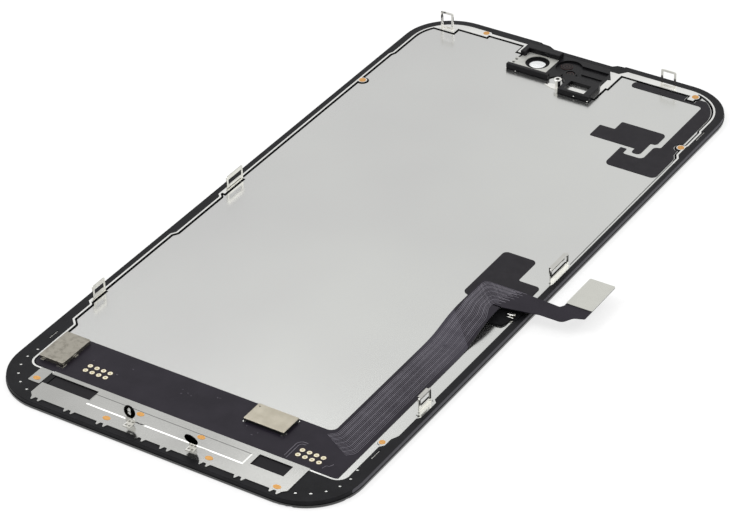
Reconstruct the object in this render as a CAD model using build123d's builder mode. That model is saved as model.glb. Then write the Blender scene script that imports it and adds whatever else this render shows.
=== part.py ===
from build123d import *
import os
from math import cos, radians, sin

# Display assembly of a large phone, lying on its front glass with its steel back up.
# Millimetres. Origin at the centre of the front glass face, +Z out of the back,
# +Y towards the earpiece end, +X to the right as seen from the back.

os.makedirs("parts", exist_ok=True)

# Front glass
glass_width = 75.0
glass_length = 157.7
glass_corner = 11.3
glass_thickness = 0.70
glass_edge_round = 0.35
earpiece_depth = 1.25
earpiece_left = -6.3
earpiece_right = 7.5

# Film stack between the glass and the steel back
panel_side_inset = 1.95
panel_end_inset = 2.65
panel_corner = 9.35
adhesive_thickness = 0.10
panel_thickness = 0.14
cushion_thickness = 0.12
plate_thickness = 0.24

# Moulded bezel frame on the rim of the glass
bezel_height = 0.82
bezel_edge_gap = 0.12
bezel_wall_gap = 0.15
bezel_edge_chamfer = 0.12
lid_thickness = 0.26
ledge_gap = 0.04

# Distance from the glass edge to the inner edge of the bezel top, place by place
rim_top = 1.80
rim_top_step = 2.25
rim_top_sensors = 2.55
rim_left = 1.40
rim_left_high = 1.80
rim_left_waist = 2.10
rim_left_low = 2.30
rim_left_foot = 3.60
rim_right = 1.20
rim_right_high = 2.00
rim_right_dip = 1.70
rim_right_middle = 1.50
rim_right_waist = 1.70
rim_right_clip = 1.00
rim_right_low = 1.60
rim_right_shoulder = 2.30
rim_right_foot = 3.00
rim_bottom = 9.15
rim_foot_round = 2.30

# Steel insert ring moulded into the bezel
insert_thickness = 0.18
insert_recess = 0.04
insert_width = 0.40
insert_gap = 0.42
right_gap = 0.07
seat_gap = 0.05

# Opening of the bezel under the bottom bracket, and the bracket
chin_side_margin = 10.60
chin_wall = 2.55
bracket_overlap = 0.80
bracket_thickness = 0.15
bracket_top_margin = 9.55
bracket_bottom_margin = 1.55
strip_raise = 0.13
strip_taper = 55
strip_left = -17.0
strip_right = 16.9
strip_low = 4.60
strip_high = 7.75
tooth_pitch = 1.45
tooth_length = 0.80
tooth_width = 0.55

# Display flex: bar across the foot, riser on the right, tail out over the side
flex_thickness = 0.12
bar_left_margin = 4.20
bar_bottom_margin = 9.75
bar_top_margin = 20.65
riser_right_margin = 4.45
riser_width = 7.70
riser_taper = 0.55
riser_lift = 1.60
lift_length = 14.0
lift_to_tail = 3.5
tail_margin = 67.85
tail_width = 4.80
tail_reach = 10.40
stiffener_width = 5.40
stiffener_length = 9.30
stiffener_rise = 5.70
stiffener_thickness = 0.15
connector_height = 0.80
connector_inset = 0.75

# Front camera and sensor bracket at the top centre
camera_x = -6.9
camera_from_top = 7.85
camera_hole = 1.75
camera_seat = 2.60
pill_x = 2.95
pill_length = 13.6
pill_width = 5.8
sensor_left = -11.6
sensor_right = 10.1
sensor_wall_height = 1.30
sensor_floor = 0.24
sensor_plate_gap = 0.15
sensor_bar_margin = 12.95
pocket_right = -3.3
post_x = 1.6
post_from_top = 14.35
post_radius = 0.85
post_stem_radius = 0.60
post_flange = 0.22
post_bore = 0.40
post_height = 2.00

# Distance of the side clips from the foot or the flex tail, and the sheet of the clips
clip_left_low_margin = 33.45
clip_left_high_margin = 78.12
clip_right_low_margin = 34.95
clip_to_tail = 15.45
clip_sheet = 0.20
pad_height = 0.03
tape_thickness = 0.08
tape_edge_gap = 0.12

# Heights, worked out from the thicknesses
adhesive_top = glass_thickness + adhesive_thickness
panel_top = adhesive_top + panel_thickness
cushion_top = panel_top + cushion_thickness
plate_top = cushion_top + plate_thickness
bezel_top = glass_thickness + bezel_height
lid_bottom = bezel_top - lid_thickness
insert_top = bezel_top - insert_recess
insert_bottom = insert_top - insert_thickness
ledge_bottom = cushion_top + ledge_gap
flex_top = plate_top + flex_thickness
flex_high = plate_top + riser_lift
sensor_top = plate_top + sensor_wall_height
bracket_top = bezel_top + bracket_thickness

# Half sizes, film outline and the foot end of the back plate
half_width = glass_width / 2
half_length = glass_length / 2
panel_width = glass_width - 2 * panel_side_inset
panel_length = glass_length - 2 * panel_end_inset
camera_y = half_length - camera_from_top
plate_end = rim_bottom + 0.70
chin_half_width = half_width - chin_side_margin
clip_left_low = clip_left_low_margin - half_length
clip_left_high = clip_left_high_margin - half_length
clip_right_low = clip_right_low_margin - half_length
clip_right_high = tail_margin + clip_to_tail - half_length
right_gap_low = 4.0 - half_length
right_gap_high = half_length - 28.0
clip_slit_width = 0.44


def from_left(distance):
    return distance - half_width


def from_right(distance):
    return half_width - distance


def from_top(distance):
    return half_length - distance


def from_bottom(distance):
    return distance - half_length


def glass_outline(inset):
    # Rounded rectangle with the shallow earpiece notch in its top edge
    with BuildSketch() as outline:
        RectangleRounded(glass_width, glass_length, glass_corner)
        with BuildLine():
            Polyline(
                (earpiece_left - 3.7, from_top(-1.0)),
                (earpiece_left - 3.6, from_top(0.25)),
                (earpiece_left - 1.6, from_top(0.40)),
                (earpiece_left, from_top(earpiece_depth)),
                (earpiece_right, from_top(earpiece_depth)),
                (earpiece_right + 0.9, from_top(0.45)),
                (earpiece_right + 2.4, from_top(0.30)),
                (earpiece_right + 2.5, from_top(-1.0)),
                close=True,
            )
        make_face(mode=Mode.SUBTRACT)
        if inset:
            offset(amount=-inset, kind=Kind.INTERSECTION)
    return outline.sketch


def panel_outline(grow):
    # Outline shared by the adhesive, the panel and the cushion film
    with BuildSketch() as outline:
        RectangleRounded(panel_width + 2 * grow, panel_length + 2 * grow, panel_corner + grow)
    return outline.sketch


def sensor_holes(camera_radius):
    # Round hole for the camera and long hole for the sensors
    with BuildSketch() as holes:
        with Locations((camera_x, camera_y)):
            Circle(camera_radius)
        with Locations((pill_x, camera_y)):
            SlotOverall(pill_length, pill_width)
    return holes.sketch


def frame_opening(inset):
    # Inner edge of the bezel top, clockwise from the top left corner
    corner_left = glass_corner - rim_left_high
    corner_right = glass_corner - rim_right_high
    corners = [
        (from_left(rim_left_high), from_top(rim_top), corner_left),
        (from_left(15.8), from_top(rim_top), 0.15),
        (from_left(16.2), from_top(rim_top_step), 0.15),
        (sensor_left - 0.1, from_top(rim_top_step), 0),
        (sensor_left - 0.1, from_top(rim_top_sensors), 0),
        (sensor_right - 1.9, from_top(rim_top_sensors), 0),
        (sensor_right - 1.9, from_top(3.45), 0),
        (sensor_right + 0.1, from_top(3.45), 0.3),
        (sensor_right + 1.4, from_top(rim_top), 0.5),
        (from_right(rim_right_high), from_top(rim_top), corner_right),
        (from_right(rim_right_high), from_top(15.3), 0.2),
        (from_right(rim_right_dip), from_top(15.8), 0.2),
        (from_right(rim_right_dip), from_top(21.6), 0.2),
        (from_right(rim_right_high - 0.1), from_top(22.0), 0.2),
        (from_right(rim_right_high - 0.1), from_top(25.5), 0.3),
        (from_right(rim_right), from_top(26.7), 0.3),
        (from_right(rim_right), clip_right_high - 3.45, 0.2),
        (from_right(rim_right_middle), clip_right_high - 4.45, 0.2),
        (from_right(rim_right_middle), from_bottom(tail_margin - 1.0), 0.2),
        (from_right(rim_right_waist), from_bottom(tail_margin - 2.0), 0.2),
        (from_right(rim_right_waist), clip_right_low + 2.7, 0.1),
        (from_right(rim_right_clip), clip_right_low + 2.0, 0.1),
        (from_right(rim_right_clip), clip_right_low - 3.1, 0.1),
        (from_right(rim_right_low), clip_right_low - 3.8, 0.1),
        (from_right(rim_right_low), from_bottom(25.4), 0.3),
        (from_right(rim_right_shoulder), from_bottom(23.8), 0.4),
        (from_right(rim_right_shoulder), from_bottom(21.8), 0.4),
        (from_right(rim_right_foot), from_bottom(21.0), 0.4),
        (from_right(rim_right_foot), from_bottom(rim_bottom), rim_foot_round),
        (chin_half_width, from_bottom(rim_bottom), 0),
        (chin_half_width, from_bottom(chin_wall), 0.5),
        (-chin_half_width, from_bottom(chin_wall), 0.5),
        (-chin_half_width, from_bottom(rim_bottom), 0),
        (from_left(rim_left_foot), from_bottom(rim_bottom), rim_foot_round),
        (from_left(rim_left_foot), from_bottom(23.3), 0.4),
        (from_left(rim_left_low), from_bottom(24.6), 0.4),
        (from_left(rim_left_low), clip_left_low - 3.4, 0.2),
        (from_left(rim_left), clip_left_low - 2.6, 0.2),
        (from_left(rim_left), clip_left_high - 20.97, 0.2),
        (from_left(rim_left_waist), clip_left_high - 19.87, 0.2),
        (from_left(rim_left_waist), clip_left_high - 5.27, 0.1),
        (from_left(rim_left), clip_left_high - 4.57, 0.1),
        (from_left(rim_left), from_top(20.4), 0.2),
        (from_left(rim_left_high), from_top(19.4), 0.2),
    ]
    with BuildSketch() as opening:
        with BuildLine():
            points = [(x, y) for x, y, radius in corners]
            FilletPolyline(*points, radius=[radius for x, y, radius in corners], close=True)
        make_face()
        if inset:
            offset(amount=-inset, kind=Kind.INTERSECTION)
    return opening.sketch


def sensor_footprint(grow):
    # Plan of the camera and sensor bracket
    with BuildSketch() as footprint:
        with BuildLine():
            Polyline(
                (sensor_left, from_top(sensor_bar_margin)),
                (sensor_left + 10.0, from_top(sensor_bar_margin)),
                (sensor_left + 10.0, from_top(11.95)),
                (sensor_left + 10.8, from_top(10.95)),
                (sensor_left + 12.4, from_top(11.25)),
                (post_x + 1.15, from_top(13.15)),
                (post_x + 1.15, from_top(16.55)),
                (sensor_right, from_top(16.55)),
                (sensor_right, from_top(12.05)),
                (sensor_right - 0.8, from_top(9.85)),
                (sensor_right - 0.8, from_top(6.85)),
                (sensor_right - 0.2, from_top(6.55)),
                (sensor_right - 1.9, from_top(3.65)),
                (sensor_right - 1.9, from_top(rim_top_sensors + seat_gap)),
                (sensor_left, from_top(rim_top_sensors + seat_gap)),
                close=True,
            )
        make_face()
        if grow:
            offset(amount=grow, kind=Kind.INTERSECTION)
    return footprint.sketch


# Gold ground pads on the insert ring: x, y, radius
ring_pads = [
    (from_left(2.45), from_top(32.6), 0.75),
    (from_left(15.0), from_top(2.60), 0.68),
    (from_right(9.2), from_top(3.75), 0.72),
    (from_right(2.75), from_top(22.8), 0.70),
    (from_right(3.20), from_bottom(22.4), 0.60),
]


# Slits in the back plate behind the right clips: x, y from, y to
clip_slits = [
    (from_right(2.86), clip_right_high - 1.4, clip_right_high + 4.4),
    (from_right(3.10), clip_right_low, clip_right_low + 3.2),
]


def insert_tabs(grow, side_grow):
    # Places where the insert ring is wider: x from, x to, y from, y to
    tabs = [
        (from_left(1.0), from_left(8.8), from_top(6.05), from_top(1.0)),
        (from_left(8.7), from_left(15.9), from_top(4.00), from_top(1.0)),
        (from_left(15.8), sensor_left - 0.1, from_top(3.10), from_top(1.0)),
        (sensor_left - 1.2, sensor_left - 0.1, from_top(6.05), from_top(3.0)),
        (sensor_right - 2.0, sensor_right + 0.4, from_top(14.85), from_top(9.0)),
        (sensor_right - 2.0, sensor_right + 0.9, from_top(9.95), from_top(1.0)),
        (sensor_right + 0.8, from_right(9.1), from_top(3.80), from_top(1.0)),
        (from_right(10.3), from_right(8.9), from_top(5.40), from_top(3.5)),
        (from_left(1.0), from_left(2.45), clip_left_high - 3.87, clip_left_high + 2.4),
        (from_left(1.0), from_left(2.20), clip_left_low - 2.6, clip_left_low + 1.5),
    ]
    side_tabs = [
        (from_right(2.10), from_right(1.0), clip_right_high - 3.55, clip_right_high + 3.75),
        (from_right(2.30), from_right(1.0), clip_right_low - 2.7, clip_right_low + 2.0),
    ]
    with BuildSketch() as tab_plan:
        for x_from, x_to, y_from, y_to in tabs:
            with Locations(((x_from + x_to) / 2, (y_from + y_to) / 2)):
                Rectangle(x_to - x_from + 2 * grow, y_to - y_from + 2 * grow)
        for x_from, x_to, y_from, y_to in side_tabs:
            with Locations(((x_from + x_to) / 2, (y_from + y_to) / 2)):
                Rectangle(x_to - x_from + 2 * side_grow, y_to - y_from + 2 * side_grow)
        for x, y, radius in ring_pads:
            pad_grow = grow
            if x > 0 and right_gap_low < y < right_gap_high:
                pad_grow = side_grow
            with Locations((x, y)):
                Circle(radius + 0.2 + pad_grow)
    return tab_plan.sketch


def insert_plan():
    # Insert ring: a band inside the opening, its tabs, cut open at the sensors and the chin
    with BuildSketch() as plan:
        add(frame_opening(0))
        add(frame_opening(insert_width), mode=Mode.SUBTRACT)
        with BuildSketch(mode=Mode.PRIVATE) as wide:
            add(insert_tabs(0, 0))
            add(frame_opening(0), mode=Mode.INTERSECT)
        add(wide.sketch)
        add(sensor_footprint(seat_gap), mode=Mode.SUBTRACT)
        with Locations((0, from_bottom(rim_bottom / 2))):
            Rectangle(2 * chin_half_width + 0.1, rim_bottom + 2.0, mode=Mode.SUBTRACT)
        with Locations(((sensor_left + sensor_right - 2.0) / 2, from_top(rim_top_sensors))):
            Rectangle(sensor_right - sensor_left - 1.8, 0.8, mode=Mode.SUBTRACT)
    return plan.sketch


def plate_outline(inset):
    # Back plate: follows the ring with an even gap, cut round the tabs, sensors and chin, slit at two clips
    with BuildSketch() as outline:
        add(frame_opening(insert_width + insert_gap + inset))
        with BuildSketch(mode=Mode.PRIVATE) as right_side:
            add(frame_opening(insert_width + right_gap + inset))
            with Locations((half_width, (right_gap_low + right_gap_high) / 2)):
                Rectangle(12.0, right_gap_high - right_gap_low, mode=Mode.INTERSECT)
            add(panel_outline(bezel_wall_gap / 2 - inset), mode=Mode.INTERSECT)
        add(right_side.sketch)
        add(insert_tabs(insert_gap + inset, right_gap + inset), mode=Mode.SUBTRACT)
        add(sensor_footprint(sensor_plate_gap + inset), mode=Mode.SUBTRACT)
        for x, y_from, y_to in clip_slits:
            with Locations((x, (y_from + y_to) / 2)):
                Rectangle(clip_slit_width + 2 * inset, y_to - y_from + 2 * inset, mode=Mode.SUBTRACT)
        with Locations((0, from_bottom(plate_end / 2))):
            Rectangle(glass_width, plate_end + 2 * inset, mode=Mode.SUBTRACT)
    return outline.sketch


def finish(piece, label):
    # Name one finished piece and write its file
    piece.part.label = label
    export_step(piece.part, "parts/" + label + ".step")


glass_plan = glass_outline(0)
bezel_plan = glass_outline(bezel_edge_gap)
panel_plan = panel_outline(0)
opening_plan = frame_opening(0)
ring_plan = insert_plan()
footprint_plan = sensor_footprint(0)
tape_limit = plate_outline(tape_edge_gap)

# Cover glass with rounded front edge
with BuildPart() as cover_glass:
    with BuildSketch():
        add(glass_plan)
    extrude(amount=glass_thickness)
    fillet(cover_glass.faces().sort_by(Axis.Z)[0].edges(), radius=glass_edge_round)
finish(cover_glass, "cover_glass")

# Clear adhesive between the glass and the panel
with BuildPart() as optical_adhesive:
    with BuildSketch(Plane.XY.offset(glass_thickness)):
        add(panel_plan)
        add(sensor_holes(camera_hole + 0.1), mode=Mode.SUBTRACT)
    extrude(amount=adhesive_thickness)
finish(optical_adhesive, "optical_adhesive")

# Panel with its foot folded back under the bottom bracket
fold_width = 2 * chin_half_width - 0.8
fold_end = from_bottom(rim_bottom + 0.7)
fold_radius = (plate_top - adhesive_top) / 2
fold_centre = from_bottom(panel_end_inset) + fold_radius + 0.05
with BuildPart() as display_panel:
    with BuildSketch(Plane.XY.offset(adhesive_top)):
        add(panel_plan)
        with Locations((0, from_bottom(panel_end_inset / 2))):
            Rectangle(fold_width + 0.6, panel_end_inset + 2 * fold_radius + 0.1, mode=Mode.SUBTRACT)
        add(sensor_holes(camera_hole + 0.1), mode=Mode.SUBTRACT)
    extrude(amount=panel_thickness)
    with BuildSketch(Plane.YZ.offset(-fold_width / 2)):
        with BuildLine():
            Line((fold_centre + 0.5, adhesive_top), (fold_centre, adhesive_top))
            ThreePointArc(
                (fold_centre, adhesive_top),
                (fold_centre - fold_radius, adhesive_top + fold_radius),
                (fold_centre, plate_top),
            )
            Line((fold_centre, plate_top), (fold_end, plate_top))
            Line((fold_end, plate_top), (fold_end, plate_top - panel_thickness))
            Line((fold_end, plate_top - panel_thickness), (fold_centre, plate_top - panel_thickness))
            ThreePointArc(
                (fold_centre, plate_top - panel_thickness),
                (fold_centre - fold_radius + panel_thickness, adhesive_top + fold_radius),
                (fold_centre, panel_top),
            )
            Line((fold_centre, panel_top), (fold_centre + 0.5, panel_top))
            Line((fold_centre + 0.5, panel_top), (fold_centre + 0.5, adhesive_top))
        make_face()
    extrude(amount=fold_width)
finish(display_panel, "display_panel")

# Black cushion and heat film behind the panel
with BuildPart() as cushion_film:
    with BuildSketch(Plane.XY.offset(panel_top)):
        add(panel_plan)
        with Locations((0, from_bottom(panel_end_inset / 2))):
            Rectangle(fold_width + 0.6, panel_end_inset + 2 * fold_radius + 0.4, mode=Mode.SUBTRACT)
        add(sensor_holes(camera_seat), mode=Mode.SUBTRACT)
    extrude(amount=cushion_thickness)
finish(cushion_film, "cushion_film")

# Steel back plate, following the insert ring with an even gap
with BuildPart() as back_plate:
    with BuildSketch(Plane.XY.offset(cushion_top)):
        add(plate_outline(0))
    extrude(amount=plate_thickness)
finish(back_plate, "back_plate")

# Bezel frame: wall around the panel, lid over the panel edge, ledge under the ring
dot_path = glass_corner - 2.40
dot_radius = 0.27
dot_depth = 0.08
dot_count = 6
dot_first_angle = 165.0
dot_step = 17.3
corner_y = from_bottom(glass_corner)
dots = []
for k in range(dot_count):
    angle = radians(dot_first_angle + k * dot_step)
    dot_x = half_width - glass_corner - dot_path * cos(angle)
    dot_y = corner_y + dot_path * sin(angle)
    dots.append((dot_x, dot_y))
    dots.append((-dot_x, dot_y))
grooves = [
    (from_left(2.40), from_bottom(18.9), 2.8),
    (from_right(2.30), from_bottom(18.9), 3.0),
    (from_right(1.35), from_top(16.9), 4.0),
]
with BuildPart() as bezel_frame:
    with BuildSketch(Plane.XY.offset(glass_thickness)):
        add(bezel_plan)
        add(panel_outline(bezel_wall_gap), mode=Mode.SUBTRACT)
    extrude(amount=lid_bottom - glass_thickness)
    with BuildSketch(Plane.XY.offset(lid_bottom)):
        add(bezel_plan)
        add(opening_plan, mode=Mode.SUBTRACT)
    extrude(amount=lid_thickness)
    rim_edges = bezel_frame.faces().sort_by(Axis.Z)[-1].outer_wire().edges()
    chamfer(rim_edges, length=bezel_edge_chamfer)
    with BuildSketch(Plane.XY.offset(ledge_bottom)):
        add(ring_plan)
    extrude(amount=insert_bottom - ledge_bottom)
    with BuildSketch(Plane.XY.offset(bezel_top)):
        with Locations(*dots):
            Circle(dot_radius)
    extrude(amount=-lid_thickness, mode=Mode.SUBTRACT)
    with BuildSketch(Plane.XY.offset(bezel_top)):
        for x, y, length in grooves:
            with Locations((x, y)):
                SlotOverall(length, 0.22, rotation=90)
    extrude(amount=-0.10, mode=Mode.SUBTRACT)
finish(bezel_frame, "bezel_frame")

# Steel insert ring, one half on each side
with BuildPart() as frame_insert:
    with BuildSketch(Plane.XY.offset(insert_bottom)):
        add(ring_plan)
    extrude(amount=insert_thickness)
finish(frame_insert, "frame_insert")

# Steel strips under the lid in the two lower corners, seen through the dots
strip_band = 0.45
band_length = 12.0
with BuildPart() as corner_strips:
    with BuildSketch(Plane.XY.offset(ledge_bottom)):
        for side in (-1, 1):
            with BuildSketch(mode=Mode.PRIVATE) as band:
                with Locations((side * (half_width - glass_corner), corner_y)):
                    Circle(dot_path + strip_band)
                    Circle(dot_path - strip_band, mode=Mode.SUBTRACT)
                with Locations((side * (chin_half_width + band_length / 2 + 0.8), corner_y)):
                    Rectangle(band_length, 2 * glass_corner, mode=Mode.INTERSECT)
                with Locations((0, corner_y + glass_corner + 3.0)):
                    Rectangle(glass_width, 2 * glass_corner, mode=Mode.SUBTRACT)
            add(band.sketch)
        add(panel_plan, mode=Mode.INTERSECT)
        add(opening_plan, mode=Mode.SUBTRACT)
    extrude(amount=lid_bottom - ledge_bottom)
    with BuildSketch(Plane.XY.offset(lid_bottom)):
        with Locations(*dots):
            Circle(dot_radius - 0.02)
    extrude(amount=lid_thickness - dot_depth)
finish(corner_strips, "corner_strips")

# Gold ground pads lying on the insert ring
with BuildPart() as ring_ground_pads:
    with BuildSketch(Plane.XY.offset(insert_top)):
        for x, y, radius in ring_pads:
            with Locations((x, y)):
                Circle(radius)
        add(ring_plan, mode=Mode.INTERSECT)
    extrude(amount=pad_height)
finish(ring_ground_pads, "ring_ground_pads")

# Stamped steel bracket across the foot, with a raised strip and retaining teeth
bracket_half_width = chin_half_width + bracket_overlap
bracket_upper = from_bottom(bracket_top_margin)
bracket_lower = from_bottom(bracket_bottom_margin)
tooth_shares = [-0.928, -0.6625, -0.4025, -0.101, 0.0975, 0.399, 0.666, 0.9296]
tooth_places = [share * bracket_half_width for share in tooth_shares]
left_window = bracket_half_width + strip_left - 0.1
right_window = bracket_half_width - strip_right - 3.85
strip_centre = ((strip_left + strip_right) / 2, from_bottom((strip_low + strip_high) / 2))
strip_length = strip_right - strip_left
strip_width = strip_high - strip_low
with BuildPart() as bottom_bracket:
    with BuildSketch(Plane.XY.offset(bezel_top)):
        with BuildLine():
            Polyline(
                (-bracket_half_width, bracket_upper),
                (bracket_half_width, bracket_upper),
                (bracket_half_width, bracket_lower + 0.9),
                (bracket_half_width - 0.9, bracket_lower),
                (0.9 - bracket_half_width, bracket_lower),
                (-bracket_half_width, bracket_lower + 0.9),
                close=True,
            )
        make_face()
        for place in tooth_places:
            for side in (-0.5, 0.5):
                with BuildLine():
                    Polyline(
                        (place + side * tooth_pitch - tooth_width * 0.8, bracket_lower + 0.02),
                        (place + side * tooth_pitch + tooth_width * 0.8, bracket_lower + 0.02),
                        (place + side * tooth_pitch + tooth_width * 0.2, bracket_lower - tooth_length),
                        (place + side * tooth_pitch - tooth_width * 0.2, bracket_lower - tooth_length),
                        close=True,
                    )
                make_face()
        with Locations((left_window / 2 - bracket_half_width, from_bottom(7.2))):
            Rectangle(left_window, 2.9, mode=Mode.SUBTRACT)
        with Locations((strip_right + 1.05 + right_window / 2, from_bottom(6.9))):
            Rectangle(right_window, 3.1, mode=Mode.SUBTRACT)
    extrude(amount=bracket_thickness)
    with BuildSketch(Plane.XY.offset(bracket_top)):
        with Locations(strip_centre):
            Rectangle(strip_length, strip_width)
    extrude(amount=strip_raise, taper=strip_taper)
    with BuildSketch(Plane.XY.offset(bezel_top)):
        with Locations(strip_centre):
            Rectangle(strip_length - 0.8, strip_width - 0.8)
    extrude(amount=strip_raise, mode=Mode.SUBTRACT)
finish(bottom_bracket, "bottom_bracket")

# Gold ground pads on the bracket, two of them on the raised strip
low_pads = [(-11.3, 3.10), (10.95, 3.00), (bracket_half_width - 2.15, 2.45)]
high_pads = [(-6.65, strip_high - 0.80), (6.5, strip_high - 0.75)]
with BuildPart() as bracket_ground_pads:
    with BuildSketch(Plane.XY.offset(bracket_top)):
        for x, margin in low_pads:
            with Locations((x, from_bottom(margin))):
                Ellipse(0.78, 0.55)
    extrude(amount=pad_height)
    with BuildSketch(Plane.XY.offset(bracket_top + strip_raise)):
        for x, margin in high_pads:
            with Locations((x, from_bottom(margin))):
                Ellipse(0.78, 0.55)
    extrude(amount=pad_height)
finish(bracket_ground_pads, "bracket_ground_pads")

# Steel tab beside the bracket, with its own ground pad
tab_right = -bracket_half_width - 0.3
tab_left = tab_right - 2.6
with BuildPart() as chin_tab:
    with BuildSketch(Plane.XY.offset(bezel_top)):
        with Locations(((tab_left + tab_right) / 2, from_bottom(7.3))):
            RectangleRounded(tab_right - tab_left, 4.2, 0.25)
    extrude(amount=0.12)
finish(chin_tab, "chin_tab")

with BuildPart() as tab_ground_pad:
    with BuildSketch(Plane.XY.offset(bezel_top + 0.12)):
        with Locations((tab_left + 1.2, from_bottom(6.35))):
            Ellipse(0.75, 0.55)
    extrude(amount=pad_height)
finish(tab_ground_pad, "tab_ground_pad")

# Driver chip on the folded foot of the panel, under the raised strip
driver_length = 24.0
driver_width = 1.2
driver_y = from_bottom((strip_low + strip_high) / 2 - 0.1)
with BuildPart() as panel_driver:
    with BuildSketch(Plane.XY.offset(plate_top)):
        with Locations((0, driver_y)):
            Rectangle(driver_length, driver_width)
    extrude(amount=0.30)
finish(panel_driver, "panel_driver")

# Display flex: one film, cut to its plan, rising off the plate towards its tail
bar_left = from_left(bar_left_margin)
bar_lower = from_bottom(bar_bottom_margin)
bar_upper = from_bottom(bar_top_margin)
riser_right = from_right(riser_right_margin)
riser_left = riser_right - riser_width
lip_half_width = chin_half_width - 0.15
lip_lower = from_bottom(strip_low + 0.2)
tail_low = from_bottom(tail_margin)
tail_high = tail_low + tail_width
tail_end_x = half_width + tail_reach
connector_left = tail_end_x - stiffener_width
stiffener_low = tail_low + stiffener_rise
connector_high = stiffener_low + stiffener_length
riser_lift_end = tail_low - lift_to_tail
riser_flat_end = riser_lift_end - lift_length
lift_middle = (riser_flat_end + riser_lift_end) / 2
with BuildPart() as display_flex:
    with BuildSketch(Plane.YZ.offset(from_left(0))):
        with BuildLine():
            Line((lip_lower - 1.0, plate_top), (riser_flat_end, plate_top))
            Bezier(
                (riser_flat_end, plate_top),
                (lift_middle, plate_top),
                (lift_middle, flex_high),
                (riser_lift_end, flex_high),
            )
            Line((riser_lift_end, flex_high), (connector_high + 1.0, flex_high))
            Line((connector_high + 1.0, flex_high), (connector_high + 1.0, flex_high + flex_thickness))
            Line((connector_high + 1.0, flex_high + flex_thickness), (riser_lift_end, flex_high + flex_thickness))
            Bezier(
                (riser_lift_end, flex_high + flex_thickness),
                (lift_middle, flex_high + flex_thickness),
                (lift_middle, flex_top),
                (riser_flat_end, flex_top),
            )
            Line((riser_flat_end, flex_top), (lip_lower - 1.0, flex_top))
            Line((lip_lower - 1.0, flex_top), (lip_lower - 1.0, plate_top))
        make_face()
    extrude(amount=half_width + tail_end_x + 1.0)
    with BuildSketch():
        with BuildLine():
            flex_corners = [
                (bar_left, bar_upper, 0.3),
                (riser_left, bar_upper, 1.4),
                (riser_left, tail_high, 0.3),
                (riser_right, tail_high, 0),
                (connector_left - 0.5, tail_high - 0.6, 0.3),
                (connector_left, tail_high + 0.2, 0.2),
                (connector_left, connector_high, 0.3),
                (tail_end_x, connector_high, 0.3),
                (tail_end_x, tail_low + 3.1, 0.4),
                (tail_end_x - 2.0, tail_low + 2.3, 1.4),
                (tail_end_x - 3.2, tail_low + 0.1, 1.4),
                (riser_right + 7.0, tail_low + 0.1, 0),
                (riser_right - riser_taper, tail_low - 1.4, 0),
                (riser_right, riser_flat_end, 0),
                (riser_right, bar_lower, 0.4),
                (lip_half_width, bar_lower, 0),
                (lip_half_width, lip_lower, 0.3),
                (-lip_half_width, lip_lower, 0.3),
                (-lip_half_width, bar_lower, 0),
                (bar_left, bar_lower, 1.8),
            ]
            flex_points = [(x, y) for x, y, radius in flex_corners]
            flex_rounds = [radius for x, y, radius in flex_corners]
            FilletPolyline(*flex_points, radius=flex_rounds, close=True)
        make_face()
        with Locations((0, driver_y)):
            Rectangle(driver_length + 0.8, driver_width + 0.6, mode=Mode.SUBTRACT)
        with Locations((riser_right - 1.2, tail_low - 1.45)):
            SlotOverall(1.9, 0.35, mode=Mode.SUBTRACT)
    extrude(amount=flex_high + 1.0, mode=Mode.INTERSECT)
finish(display_flex, "display_flex")

# Stiffener on the tail's end, plug under it with two rows of contacts
stiffener_y = (connector_high + stiffener_low) / 2
connector_x = (connector_left + tail_end_x) / 2
with BuildPart() as connector_stiffener:
    with BuildSketch(Plane.XY.offset(flex_high + flex_thickness)):
        with Locations((connector_x, stiffener_y)):
            RectangleRounded(stiffener_width, stiffener_length, 0.3)
    extrude(amount=stiffener_thickness)
finish(connector_stiffener, "connector_stiffener")

plug_width = stiffener_width - 2 * connector_inset - 1.2
plug_length = stiffener_length - 2 * connector_inset
groove_width = 0.9
with BuildPart() as board_connector:
    with BuildSketch(Plane.XY.offset(flex_high)):
        with Locations((connector_x, stiffener_y)):
            RectangleRounded(plug_width, plug_length, 0.25)
    extrude(amount=-connector_height)
    with BuildSketch(Plane.XY.offset(flex_high - connector_height)):
        with Locations((connector_x, stiffener_y)):
            RectangleRounded(groove_width, plug_length - 1.4, 0.2)
    extrude(amount=0.55, mode=Mode.SUBTRACT)
finish(board_connector, "board_connector")

contact_pitch = 0.40
contact_count = 14
with BuildPart() as connector_contacts:
    with BuildSketch(Plane.XY.offset(flex_high)):
        for side in (-1, 1):
            with Locations((connector_x + side * (plug_width / 2 + 0.15), stiffener_y)):
                with GridLocations(1.0, contact_pitch, 1, contact_count):
                    Rectangle(0.30, 0.18)
    extrude(amount=-0.12)
finish(connector_contacts, "connector_contacts")

# Black tape on the plate under the flex end, and the black pad under the tail
tape_left = riser_left - 2.55
with BuildPart() as flex_tape:
    with BuildSketch(Plane.XY.offset(plate_top)):
        with BuildLine():
            FilletPolyline(
                (tape_left, tail_low + 1.6),
                (tape_left, tail_low + 17.1),
                (tape_left + 7.1, tail_low + 17.1),
                (tape_left + 7.1, tail_low + 9.8),
                (tape_left + 12.0, tail_low + 9.8),
                (tape_left + 12.0, tail_low + 6.6),
                (tape_left + 7.1, tail_low + 6.6),
                (tape_left + 7.1, tail_low + 1.1),
                (tape_left + 1.1, tail_low + 1.1),
                radius=[1.0, 1.0, 1.0, 0.6, 0.9, 0, 0.6, 0.3, 0.5],
                close=True,
            )
        make_face()
    extrude(amount=tape_thickness)
finish(flex_tape, "flex_tape")

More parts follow.
